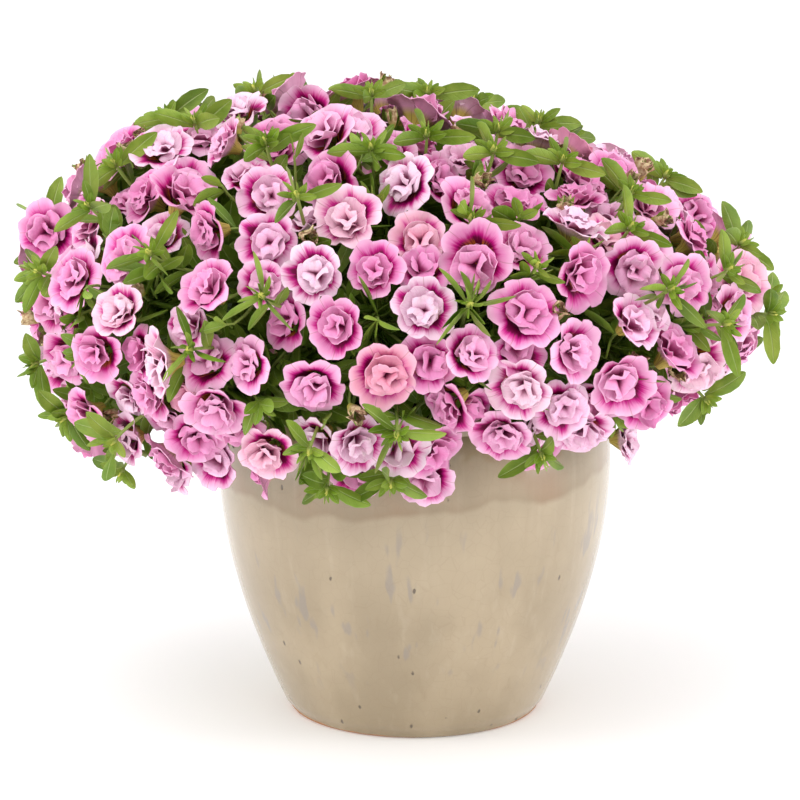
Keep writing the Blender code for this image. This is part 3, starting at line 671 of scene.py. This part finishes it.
def blade_rule():
    """Leaf blades swept along their spines: a flat lens with a sunk midrib, facing as each point says."""
    tree, w, given = rule("blades along spines", [
        ("Corners", "Int", 4), ("Flatness", "Float", 0.09), ("Fold", "Float", 0.30),
        ("Finish", "Material", None)])
    lines = w.node("GeometryNodeMeshToCurve", {}, {"Mesh": given["Geometry"]})
    values = {"Curve": lines, "Normal": field(w, "face", "FLOAT_VECTOR")}
    lines = w.node("GeometryNodeSetCurveNormal", {"mode": "FREE"}, values)
    # seen along the spine, the ring's x is the blade's width and its y the blade's thickness
    across, over, ahead = w.node("GeometryNodeInputPosition").parts()
    lift = given["Flatness"] * over + given["Fold"] * w.sum("ABSOLUTE", across)
    values = {"Geometry": ring_of(w, given["Corners"]), "Name": "across", "Value": across}
    ring = w.node("GeometryNodeStoreNamedAttribute", {"data_type": "FLOAT", "domain": "POINT"}, values)
    values = {"Geometry": ring, "Position": w.joined(across, lift)}
    ring = w.node("GeometryNodeSetPosition", {}, values)
    hand_out(w, swept(w, lines, ring), given["Finish"])
    return tree


def leaf_finish():
    made, w, shader = finish("green_leaf", specular_ior_level=0.4)
    place = w.place()
    young, across, along = (attribute(w, name) for name in ("young", "across", "along"))
    side = w.sum("ABSOLUTE", across)
    cloud = w.noise(place, 55, 2)
    deep = w.mixed(cloud.between(0.3, 0.7), colour(74, 106, 18), colour(110, 140, 38))
    fresh = w.mixed(cloud.between(0.3, 0.7), colour(126, 158, 38), colour(166, 190, 76))
    rib = 1 - side.between(0.02, 0.12)
    veins = w.sum("SINE", along * 34 - side * 7).between(0.8, 1.0) * side.between(0.08, 0.25)
    # the young share turns deep green to fresh green; on the inner leaves in the shade it is set high as
    # painted light, not for their age
    tone = deep.under(young, fresh).under(rib * 0.50 + side.between(0.9, 1.0) * 0.35, colour(178, 200, 124))
    wear(shader, "Base Color", tone)
    wear(shader, "Roughness", 0.36 + 0.2 * cloud)
    bumped(shader, 0.6 * w.noise(place, 700, 2) - 0.8 * rib - 0.2 * veins, 0.0004, 0.7)
    return made


def clear_of_blooms(route):
    """Whether a route stays out of every bloom, and doesn't lie over the front of one."""
    gap = np.asarray(route)[:, None] - bloom_middles[None]
    depth = np.einsum("ijk,jk->ij", gap, bloom_facings)
    aside = np.linalg.norm(gap - depth[..., None] * bloom_facings[None], axis=2)
    reach = bloom_radii * np.where(depth < -0.25 * bloom_radii, 0.5, 0.95)
    return not ((aside < reach) & (depth > -9 * MM) & (depth < 5 * MM)).any()


def stands_out(tip):
    """Whether a leaf's tip stands out beyond the blooms around it."""
    near = np.linalg.norm(bloom_middles - tip, axis=1).argmin()
    return (tip - bloom_middles[near]) @ outward(bloom_middles[near]) > 10 * MM


def blade(lines, root, tip, section, share, side, width, young, count=8):
    """Adds a leaf's spine: from its root through a section at a share of its length to its tip."""
    chord = tip - root
    bent = (section - root - share * chord) / (share**2 - share)
    t = (blade_shares if count == 8 else np.linspace(0, 1, count))[:, None]
    route = root + (chord - bent) * t + bent * t**2
    face = np.cross((chord - bent) + 2 * bent * t, side)
    face /= np.linalg.norm(face, axis=1)[:, None]
    if face.mean(axis=0) @ outward(root) < 0:
        face = -face
    half = width / 2 * np.interp(t[:, 0], blade_shares, blade_spread)
    lines.add(route, half_width=half, face=face, along=t[:, 0], young=young)


def free_blade(lines, root, way, up, length, width, young, rng, count=8, droop=0.18, tested=True):
    """Adds a leaf from root along way, its upper side to up, if it stands clear of the blooms."""
    way = unit(way)
    side = np.cross(way, up)
    if np.linalg.norm(side) < 0.05:
        side = np.cross(way, up + rng.normal(size=3))
    side = unit(side)
    rise = np.cross(side, way)
    tip = root + length * way - droop * length * rise
    section = root + 0.5 * length * way - droop * 0.25 * length * rise
    route = [section, tip, (section + tip) / 2, root + 0.25 * length * way]
    if tested and (stands_out(tip) or not clear_of_blooms(route)):
        return False
    blade(lines, root, tip, section, 0.5, side, width, young, count)
    return True


def around(axis, turn, lean):
    """A direction that leans off an axis by an angle, at a turn round it."""
    first = unit(np.cross(axis, (0.31, 0.92, 0.23)))
    second = np.cross(axis, first)
    aside = math.cos(turn) * first + math.sin(turn) * second
    return math.cos(lean) * np.asarray(axis) + math.sin(lean) * aside


stalks, stem_green = stalk_rule(), stem_finish()
blades, leaf_green = blade_rule(), leaf_finish()

for spray, (stem, tops, leaves) in enumerate(branches):
    rng = np.random.default_rng(100 + spray)
    wood, fine, inner = Lines(), Lines(), Lines()
    foot, start, bend, tuft = stem
    route = bezier(foot, start, 2 * bend - (start + tuft) / 2, tuft, 12)
    wood.stem(route, 1.9, 1.4, 0.1, 0.1)
    for k in range(4, 12):  # old leaves up the main stem
        heading = unit(route[k] - route[k - 1])
        for turn in (0, 1):
            way = around(heading, golden * (2 * k + turn), math.radians(rng.uniform(45, 80)))
            length, width = rng.uniform(20, 30) * MM, rng.uniform(7, 10) * MM
            # these old leaves in the shade get a fresh, pale tint of 0.4: painted light
            free_blade(inner, route[k], way, outward(route[k]), length, width, 0.4, rng, 5)
    knuckle = spray_blooms[spray][0].knuckle
    ahead = 8 * MM * unit(knuckle - tuft)
    wood.stem(bezier(tuft, tuft + ahead, knuckle - ahead, knuckle, 5), 1.5, 1.2, 0.3, 0.3)
    for root, tip, section, share, side, width in leaves:
        blade(fine, root, tip, section, share, side, width * 1.15, rng.uniform(0.1, 0.8))
    for top, axis in tops:  # the shoots, from the tuft to the bud at each tip
        tip = top - 4 * MM * axis
        pull = tuft + (tip - 29 * MM * axis - tuft) * 0.7
        route = bezier(tuft, pull, tip - 26 * MM * axis, tip, shoot_steps)
        wood.stem(route, 1.3, 0.9, 0.2, 1)
        wood.add([tip + h * MM * axis for h in bud_heights], half_width=bud_widths, young=bud_tints)
        for k in range(3, shoot_steps - 1):
            heading, young = unit(route[k] - route[k - 1]), 0.05 + 0.5 * (k / 13) ** 2
            for attempt in range(5):
                lean = math.radians(rng.uniform(30, 62))
                way = around(heading, golden * (k + 5 * attempt) + rng.uniform(-0.3, 0.3), lean)
                length = rng.uniform(18, 28) * MM * (1 - 0.05 * attempt)
                width = length * rng.uniform(0.34, 0.46)
                if free_blade(fine, route[k], way, heading, length, width, young, rng):
                    break
        for k in range(whorl_leaves):
            way = around(axis, golden * k + rng.uniform(-0.2, 0.2), math.radians(14 + 5.5 * k))
            length = rng.uniform(6 + 0.5 * k, 9 + 0.7 * k) * MM
            young, droop, root = rng.uniform(0.6, 1.0), rng.uniform(-0.05, 0.15), tip - 1 * MM * axis
            free_blade(fine, root, way, axis, length, length * 0.4, young, rng, 8, droop, False)
    for shoot in [shoot for shoot in side_shoots if shoot.spray == spray]:
        tip, axis, root = shoot.middle, shoot.facing, shoot.knuckle
        route = bezier(root, root + 10 * MM * outward(root), tip - 16 * MM * axis, tip, stalk_steps)
        wood.stem(route, 1.1, 0.7, 0.3, 1)
        for k in range(side_leaves):
            way = around(axis, golden * k + rng.uniform(-0.3, 0.3), math.radians(78 - 5.5 * k))
            length = rng.uniform(0.9, 1.15) * (26 - 1.5 * k) * MM
            width = length * rng.uniform(0.36, 0.5)
            root = tip - (10 - k) * 0.7 * MM * axis
            free_blade(fine, root, way, axis, length, width, 0.1 + 0.08 * k, rng, 8, 0.1)
    for k in range(shade_leaves):  # the tuft's own leaves, in the shade
        way = around(outward(tuft), golden * k, math.acos(1 - 1.6 * (k + 0.5) / shade_leaves))
        root = tuft + rng.uniform(4, 34) * MM * way
        reach = unit(way + 0.5 * outward(tuft) + rng.normal(0, 0.35, 3))
        length, width = rng.uniform(22, 32) * MM, rng.uniform(7, 10) * MM
        # these leaves in the shade get a fresh, pale tint of 0.2 to 0.6: painted light
        free_blade(inner, root, reach, outward(root), length, width, rng.uniform(0.2, 0.6), rng, 5)
    heads = [(bloom, 13 * MM) for bloom in all_blooms] + [(head, 5 * MM) for head in withered]
    for head, tube in [(head, tube) for head, tube in heads if head.spray == spray]:  # the blooms' stalks
        end = head.middle - tube * head.facing
        before = end - 12 * MM * head.facing if end[2] > hang_height else end + np.array([0, 0, 20 * MM])
        pull = head.knuckle + 10 * MM * outward(head.knuckle)
        route = bezier(head.knuckle, pull, before, end, stalk_steps)
        wood.stem(route, 0.9, 0.8, 0.3, 0.9)
        for k in (1, 3, 4, 6, 7):
            heading, count = unit(route[k] - route[k - 1]), 8 if k > 3 else 5
            for attempt in range(4):
                lean = math.radians(rng.uniform(35, 85))
                way = around(heading, golden * (k + 3 * attempt) + rng.uniform(-0.5, 0.5), lean)
                length = rng.uniform(17, 26) * MM
                width, young = length * rng.uniform(0.34, 0.46), rng.uniform(0.0, 0.4)
                if free_blade(fine, route[k], way, heading, length, width, young, rng, count):
                    break
        for k in range(sepals):
            turn = 2 * math.pi * k / sepals + 0.3 * rng.normal()
            way = around(head.facing, turn, math.radians(rng.uniform(24, 44)))
            length, root = rng.uniform(8.5, 11) * MM, end + 1 * MM * head.facing
            free_blade(inner, root, way, head.facing, length, 2.6 * MM, 0.5, rng, 4, -0.12, False)
    branch = grown_by(stalks, wood.piece(f"branch_{spray:02d}"), finish=stem_green)
    belongs(branch, "leaf", f"stem_{spray:02d}", f"blooms_{spray:02d}")
    for what, lines, flatness in (("leaves", fine, 0.09), ("inner_leaves", inner, 0.12)):
        leafy = grown_by(blades, lines.piece(f"{what}_{spray:02d}"), flatness=flatness, finish=leaf_green)
        belongs(leafy, "leaf", f"stem_{spray:02d}")

# The blooms: each a thin funnel that opens into five joined lobes, with a second crumpled flower
# of folded petals crowded in its throat. Pale pink at the edge, feathering through magenta to
# wine red in the throat, with a thin line down the middle of each lobe.

bloom_forms, plain_forms = 12, 5
noise.seed_set(5)  # the petals crumple the same way each time
petal_wall = 0.018  # of a bloom's radius


def skirt(rng, seed, plain):
    """The outer funnel of a bloom of radius 1, as a sheet: its points, faces and flat places."""
    rows = [0.08, 0.5, 0.7, 0.88, 1.0] if plain else [0.07, 0.26, 0.5, 0.63, 0.76, 0.89, 1.0]
    each = 6 if plain else 8
    columns = 5 * each
    cup, ruffle = rng.uniform(-0.14, 0.10), rng.uniform(0.015, 0.04)
    lobe_reach = rng.uniform(0.93, 1.03, 5)
    lobe_dip = rng.uniform(-0.10, 0.08, 5)
    phase = rng.uniform(0, 6.28, 3)
    points, places = [], []
    for q in rows:
        for j in range(columns):
            angle = 2 * math.pi * j / columns
            x = abs((j + each // 2) % each - each // 2) / (each // 2)  # 0 mid-lobe, 1 between lobes
            lobe = int(((j + each // 2) % columns) // each)
            near = 1 - x**2
            reach = 1 - 0.19 * x**3.0 - 0.045 * max(0, 1 - x / 0.3) + (lobe_reach[lobe] - 1) * near
            edge = max(0.0, (q - 0.5) / 0.5)
            rho = 0.13 + 0.37 * (q / 0.5) ** 2 if q < 0.5 else 0.5 + edge * (reach - 0.5)
            z = -0.2 - 0.56 * ((0.5 - q) / 0.43) ** 1.1 if q <= 0.5 else -0.04 - 0.16 * (1 - edge) ** 1.6
            z += 0.08 * edge**2 * x**3 + lobe_dip[lobe] * near * edge**2 - 0.06 * edge**4 * near
            waves = math.sin(7 * angle + phase[0]) + 0.8 * math.sin(12 * angle + phase[1])
            z += cup * edge**2 + ruffle * edge**2 * waves
            point = Vector((rho * math.cos(angle), rho * math.sin(angle), z))
            point += noise.noise_vector(point * 2.3 + Vector((seed, 0, 0))) * (0.06 * edge)
            points.append(point)
            places.append((q * math.cos(angle), q * math.sin(angle), 0.0))
    return points, ring_faces(len(rows), columns), places


def ring_faces(rows, columns):
    """The faces between rows of points that go round."""
    return [(r * columns + j, (r + 1) * columns + j, (r + 1) * columns + (j + 1) % columns,
             r * columns + (j + 1) % columns) for r in range(rows - 1) for j in range(columns)]


def rosette(rng, seed, plain):
    """The crumpled inner flower: sheets of folded petals that start in the throat and crowd over it."""
    points, faces, places = [], [], []
    aside = rng.uniform(0, 6.28)
    shift = Vector((math.cos(aside), math.sin(aside), 0)) * rng.uniform(0.06, 0.20)
    outer, middle = (5, 2) if plain else (int(rng.integers(5, 7)), int(rng.integers(3, 5)))
    down, across = (4, 5) if plain else (5, 7)
    first_turn = rng.uniform(0, 6.28)
    lap = rng.choice([-1, 1])
    for petal in range(outer + middle):
        guard = petal < outer
        step = 2 * math.pi * petal / outer if guard else 0.5 + 2 * math.pi * petal / middle
        turn = first_turn + step + rng.uniform(-0.3, 0.3)
        reach = rng.uniform(0.42, 0.60) if guard else rng.uniform(0.18, 0.38)
        high = rng.uniform(0.08, 0.22) if guard else rng.uniform(0.20, 0.34)
        wide = rng.uniform(0.36, 0.52) if guard else rng.uniform(0.24, 0.36)
        cupped, upright = rng.uniform(-0.24, 0.06), rng.random() < 0.55
        curl = rng.uniform(0.05, 0.26)
        tilt = lap * rng.uniform(0.03, 0.16)
        fold, waves = rng.uniform(0.025, 0.06), rng.uniform(1.4, 2.6)
        phase = rng.uniform(0, 6.28)
        first = len(points)
        for a in range(down):
            u = a / (down - 1)
            for b in range(across):
                v = 2 * b / (across - 1) - 1
                if guard:
                    r = 0.06 + reach * u**0.85
                    rise = u**0.9 if upright else math.sin(math.pi * 0.64 * u) - 0.1 * u**3
                    z = -0.24 + (high + 0.24) * rise
                    z += tilt * v * u + cupped * v**2 * (0.4 + 0.6 * u)
                else:
                    r = 0.02 + reach * u**1.3 + curl * v**2 * u
                    z = -0.2 + (high + 0.2) * math.sin(math.pi * 0.56 * u) - 0.08 * v**2 * u
                spread = wide * (0.3 + 0.7 * math.sin(math.pi * (0.12 + 0.72 * u)))
                r -= 0.10 * u**2 * v**2
                z += fold * math.cos(waves * math.pi * v + phase) * (0.25 + 0.75 * u)
                point = Vector((r, spread * v, z))
                point += noise.noise_vector(point * 3.2 + Vector((seed, 1.7 * petal, 0))) * 0.08
                point.rotate(Matrix.Rotation(turn, 3, "Z"))
                points.append(point + shift)
                places.append((v, u, 1.0))
        for a in range(down - 1):
            for b in range(across - 1):
                i = first + a * across + b
                faces.append((i, i + across, i + across + 1, i + 1))
    return points, faces, places


def thin_wall(points, faces, places, thickness):
    """A sheet made a closed wall, half its thickness to each side. The skirt's outside is marked 2."""
    points, places = np.array(points), np.array(places)
    square = points[np.array(faces)]
    normal = np.cross(square[:, 2] - square[:, 0], square[:, 3] - square[:, 1])
    facing = np.zeros_like(points)
    for corner in range(4):
        np.add.at(facing, np.array(faces)[:, corner], normal)
    facing /= np.linalg.norm(facing, axis=1)[:, None]
    count = len(points)
    edges = {edge: True for face in faces for edge in zip(face, face[1:] + face[:1])}
    rim = [(b, a, a + count, b + count) for a, b in edges if (b, a) not in edges]
    back = places.copy()
    back[places[:, 2] == 0, 2] = 2
    walls = faces + [tuple(i + count for i in face[::-1]) for face in faces] + rim
    step = facing * thickness / 2
    return np.vstack([points + step, points - step]), walls, np.vstack([places, back])


def head_form(name, points, faces, places, thickness):
    """A sheet made one form of flower head, of radius 1, as an object to be repeated."""
    points, faces, places = thin_wall(points, faces, places, thickness)
    mesh = bpy.data.meshes.new(name)
    mesh.from_pydata([tuple(point) for point in points], [], faces)
    stored(mesh, "petal_place", places)
    return bpy.data.objects.new(name, mesh)


def bloom_form(number):
    """One form of bloom. The last few are plain, with fewer faces, for the blooms in the gaps."""
    rng = np.random.default_rng(40 + number)
    plain = number >= bloom_forms
    points, faces, places = skirt(rng, number * 7.3, plain)
    more_points, more_faces, more_places = rosette(rng, number * 3.7, plain)
    faces += [tuple(i + len(points) for i in face) for face in more_faces]
    places += more_places
    return head_form(f"bloom_form_{number:02d}", points + more_points, faces, places, petal_wall)


def bloom_rule():
    """Blooms repeated on their points: each point picks a form, and says its size and turn."""
    tree, w, given = rule("blooms on their stalks", [
        ("Forms", "Collection", None), ("Crumple", "Float", 0.7 * MM), ("Crumple scale", "Float", 85.0),
        ("Finish", "Material", None)])
    forms = w.node("GeometryNodeCollectionInfo", {"transform_space": "ORIGINAL"},
                   {"Collection": given["Forms"], "Separate Children": True, "Reset Children": True})
    turn = w.node("FunctionNodeEulerToRotation", {}, {0: field(w, "turn", "FLOAT_VECTOR")})
    many = w.node("GeometryNodeInstanceOnPoints", {}, {
        "Points": given["Geometry"], "Instance": forms, "Rotation": turn, "Pick Instance": True,
        "Instance Index": field(w, "form", "INT"), "Scale": field(w, "size", "FLOAT_VECTOR")})
    real = w.node("GeometryNodeRealizeInstances", {}, {0: many})
    push = w.noise(w.node("GeometryNodeInputPosition"), given["Crumple scale"], 1.0, 0.5, out=1)
    push = w.vector("SUBTRACT", push, (0.5, 0.5, 0.5))
    push = w.node("ShaderNodeVectorMath", {"operation": "SCALE"}, {0: push, "Scale": given["Crumple"] * 2})
    real = w.node("GeometryNodeSetPosition", {}, {"Geometry": real, "Offset": push})
    hand_out(w, soft(w, real), given["Finish"])
    return tree


def petal_finish():
    made, w, shader = finish("pink_petal", specular_ior_level=0.25)
    x, y, part = attribute(w, "petal_place", 1).parts()
    tint, place, flat = attribute(w, "tint"), w.place(), w.joined(x, y)
    rho = w.vector("LENGTH", flat, out=1)
    # streaks run out from the throat: they change quickly round the bloom and slowly along it
    way = w.vector("ADD", w.vector("NORMALIZE", flat), w.joined(z=rho * 0.12 + tint * 40))
    streaks = w.noise(way, 9, 3, 0.7)
    broad = w.noise(way, 1.5, 1, 0.5)
    cloud = w.noise(place, 110, 2)
    stops = [(0.0, colour(232, 140, 194)), (0.3, colour(240, 160, 206)), (0.6, colour(244, 178, 216)),
             (0.8, colour(250, 206, 232)), (0.92, colour(252, 224, 240)), (1.0, colour(244, 160, 186))]
    pale = w.node("ShaderNodeValToRGB", {"stops": stops}, {0: tint})
    # the skirt
    feather = rho + 0.34 * (streaks - 0.5) + 0.8 * (broad - 0.5)
    front = pale.under(rho.between(0.74, 1.0) * 0.35, colour(255, 228, 244))
    front = front.under((1 - feather.between(0.62, 0.92)) * 0.6, colour(224, 84, 172))
    front = front.under(1 - feather.between(0.56, 0.76), colour(200, 16, 132))
    front = front.under(1 - feather.between(0.44, 0.60), colour(116, 4, 66))
    # the thin line down the middle of each lobe
    lobe = w.sum("ABSOLUTE", w.sum("PINGPONG", w.sum("ARCTAN2", y, x) + math.pi * 4, math.pi / 5))
    line = 1 - (lobe * rho).between(0.0, 0.020)
    front = front.under(line * rho.between(0.55, 0.72) * 0.5, colour(170, 112, 104))
    # the deep throat
    gold = (1 - rho.between(0.34, 0.54)) * (streaks + 1.2 * (broad - 0.5)).between(0.48, 0.62)
    front = front.under(gold * 0.9, colour(224, 134, 34))
    # the skirt's outside and the tube: pale and veined, then yellow-green with dark ribs
    veined = streaks.between(0.45, 0.7) * 0.22 * (1 - rho.between(0.75, 1.0))
    back = pale.under(0.4, colour(236, 176, 206)).under(veined, colour(176, 84, 136))
    back = back.under(line * 0.5, colour(126, 70, 70))
    ribbed = w.mixed(streaks.between(0.48, 0.62) * 0.7, colour(196, 176, 84), colour(104, 52, 50))
    back = back.under(1 - rho.between(0.36, 0.56), ribbed)
    # the inner petals: pale at the edge, rose in fine veins, and dark magenta at their bases where they
    # leave the throat: painted shade of the crevices deep in the rosette
    deep = 1 - (y + 0.35 * (cloud - 0.5)).between(0.10, 0.52)
    veins = w.noise(w.joined(x * 7.0, y * 0.8, tint * 30), 2.2, 2, 0.6)
    ruff = pale.under(veins.between(0.5, 0.75) * 0.4, colour(214, 104, 170))
    # dark magenta laid over the petal bases: painted shade of the crevices between the crowded petals
    ruff = ruff.under(deep * 0.9, colour(150, 16, 92))
    rim = w.sum("MAXIMUM", w.sum("ABSOLUTE", x).between(0.8, 1.0), y.between(0.86, 1.0))
    ruff = ruff.under(rim * 0.3, colour(246, 208, 228))
    tone = front.under(part.between(0.4, 0.6), ruff).under(part.between(1.4, 1.6), back)
    wear(shader, "Base Color", tone)
    wear(shader, "Roughness", 0.45 + 0.15 * streaks)
    bumped(shader, 0.6 * streaks + 0.4 * w.noise(place, 520, 2), 0.0004, 0.6)
    return made


form_box = bpy.data.collections.new("flower_forms")
bpy.context.scene.collection.children.link(form_box)


def fill_box(forms):
    """Puts these forms in the box that the blooms' rule picks from, in place of the former ones."""
    for former in list(form_box.objects):
        bpy.data.objects.remove(former)
    for form in forms:
        form_box.objects.link(form)


bloom_tree, petal_pink = bloom_rule(), petal_finish()


def heads_on_points(name, heads, petal):
    """Flower heads repeated by the rule: each head is its middle, turn, size, form and tint."""
    middles, *rest = zip(*heads)
    mesh = bpy.data.meshes.new(name)
    mesh.from_pydata([tuple(middle) for middle in middles], [], [])
    for what, values in zip(("turn", "size", "form", "tint"), rest):
        stored(mesh, what, values)
    return grown_by(bloom_tree, placed(name, mesh), forms=form_box, finish=petal)


def turned_to(facing, lobe):
    """The turn that brings a form's axis to this facing and its first lobe to this one."""
    return tuple(Matrix((lobe, np.cross(facing, lobe), facing)).transposed().to_euler("XYZ"))


fill_box([bloom_form(number) for number in range(bloom_forms + plain_forms)])
for spray in range(sprays):
    rng = np.random.default_rng(300 + spray)
    heads = []
    for number, bloom in enumerate(all_blooms):
        if bloom.spray != spray:
            continue
        plain = number >= len(open_blooms)
        form = bloom_forms + int(rng.integers(plain_forms)) if plain else int(rng.integers(bloom_forms))
        size = bloom.radius * rng.uniform((1.02, 1.02, 0.95), (1.09, 1.09, 1.15))
        heads.append((bloom.middle, turned_to(bloom.facing, bloom.lobe), size, form, rng.uniform(0, 1)))
    whole = heads_on_points(f"blooms_of_spray_{spray:02d}", heads, petal_pink)
    belongs(whole, "petal", f"blooms_{spray:02d}")

# The spent blooms: each shrivels to a crumpled beige cup on its stalk, brown at its torn edge
# and still yellow-green where it sits in its sepals.

spent_forms, spent_wall = 5, 0.07


def withered_form(number):
    """One form of spent bloom: a small crumpled cup."""
    points, places = [], []
    shares, columns = (0.0, 0.25, 0.5, 0.75, 1.0), 12
    for share in shares:
        for j in range(columns):
            angle = 2 * math.pi * j / columns
            reach = 0.16 + 0.42 * share**0.8 * (1 + 0.25 * math.sin(5 * angle + number)) - 0.14 * share**3
            point = Vector((reach * math.cos(angle), reach * math.sin(angle), 1.25 * share - 0.75))
            point += noise.noise_vector(point * 2.4 + Vector((5.1 * number, 0, 0))) * (0.5 * share)
            points.append(point)
            places.append((share, 0.0, 0.0))
    faces = [(face[0], *face[:0:-1]) for face in ring_faces(len(shares), columns)]
    return head_form(f"withered_form_{number:02d}", points, faces, places, spent_wall)


def withered_finish():
    made, w, shader = finish("withered_petal", roughness=0.85)
    share = attribute(w, "petal_place", 1).parts()[0]
    cloud = w.noise(w.place(), 380, 3, 0.6)
    dry = w.mixed(cloud.between(0.35, 0.65), colour(222, 200, 156), colour(164, 122, 88))
    tone = w.mixed(share.between(0.1, 0.45), colour(176, 168, 72), dry)
    tone = tone.under(share.between(0.7, 1.0) * cloud.between(0.4, 0.6), colour(112, 72, 56))
    wear(shader, "Base Color", tone)
    bumped(shader, cloud, 0.0006, 0.8)
    return made


fill_box([withered_form(number) for number in range(spent_forms)])
rng = np.random.default_rng(77)
heads = []
for head in withered:
    turn = turned_to(head.facing, unit(np.cross(head.facing, rng.normal(size=3))))
    size = rng.uniform(7.5, 10.5) * MM * rng.uniform((0.8, 0.8, 0.8), (1.1, 1.1, 1.1))
    heads.append((head.middle, turn, size, int(rng.integers(spent_forms)), 0.0))
spent = heads_on_points("withered_blooms", heads, withered_finish())
belongs(spent, "petal", *sorted({f"stem_{head.spray:02d}" for head in withered}))
fill_box([])
bpy.data.collections.remove(form_box)

# The floor, the lights and the camera: a white table, soft boxes above and at both sides, and
# a long lens a little above the pot.

table_reach = 6
focal_length, elevation, away = 173.7, math.radians(13), 2.2
target = Vector((-0.0083, 0, 0.179))

floor_mesh = bpy.data.meshes.new("table")
floor_corners = [(x * table_reach, y * table_reach, 0) for x, y in ((-1, -1), (1, -1), (1, 1), (-1, 1))]
floor_mesh.from_pydata(floor_corners, [], [(0, 1, 2, 3)])
white, w, shader = finish("white_table", roughness=0.9, base_color=(0.97, 0.97, 0.97, 1),
                          emission_color=(1, 1, 1, 1), emission_strength=0.12)
floor_mesh.materials.append(white)
placed("table", floor_mesh)

world = bpy.data.worlds.new("room")
world.use_nodes = True
world.node_tree.nodes["Background"].inputs["Color"].default_value = (1, 1, 1, 1)
world.node_tree.nodes["Background"].inputs["Strength"].default_value = 1.0
bpy.context.scene.world = world


def soft_box(name, place, aim, width, height, power):
    lamp = bpy.data.lights.new(name, "AREA")
    lamp.shape, lamp.size, lamp.size_y, lamp.energy = "RECTANGLE", width, height, power
    made = placed(name, lamp)
    made.location = place
    made.rotation_euler = (Vector(aim) - Vector(place)).to_track_quat("-Z", "Y").to_euler()


soft_box("top_box", (-0.3, -0.7, 1.6), (0, 0, 0.2), 1.2, 1.0, 7)
soft_box("left_box", (-1.1, -0.3, 0.5), (0, 0, 0.15), 0.5, 1.1, 4)
soft_box("right_box", (1.1, -0.3, 0.5), (0, 0, 0.15), 0.5, 1.1, 4)

lens = bpy.data.cameras.new("camera")
lens.sensor_width, lens.lens, lens.clip_end = 36, focal_length, 50
camera = placed("camera", lens)
camera.location = target + away * Vector((0, -math.cos(elevation), math.sin(elevation)))
camera.rotation_euler = (math.pi / 2 - elevation, 0, 0)
bpy.context.scene.camera = camera
bpy.context.scene.view_settings.view_transform = "Standard"
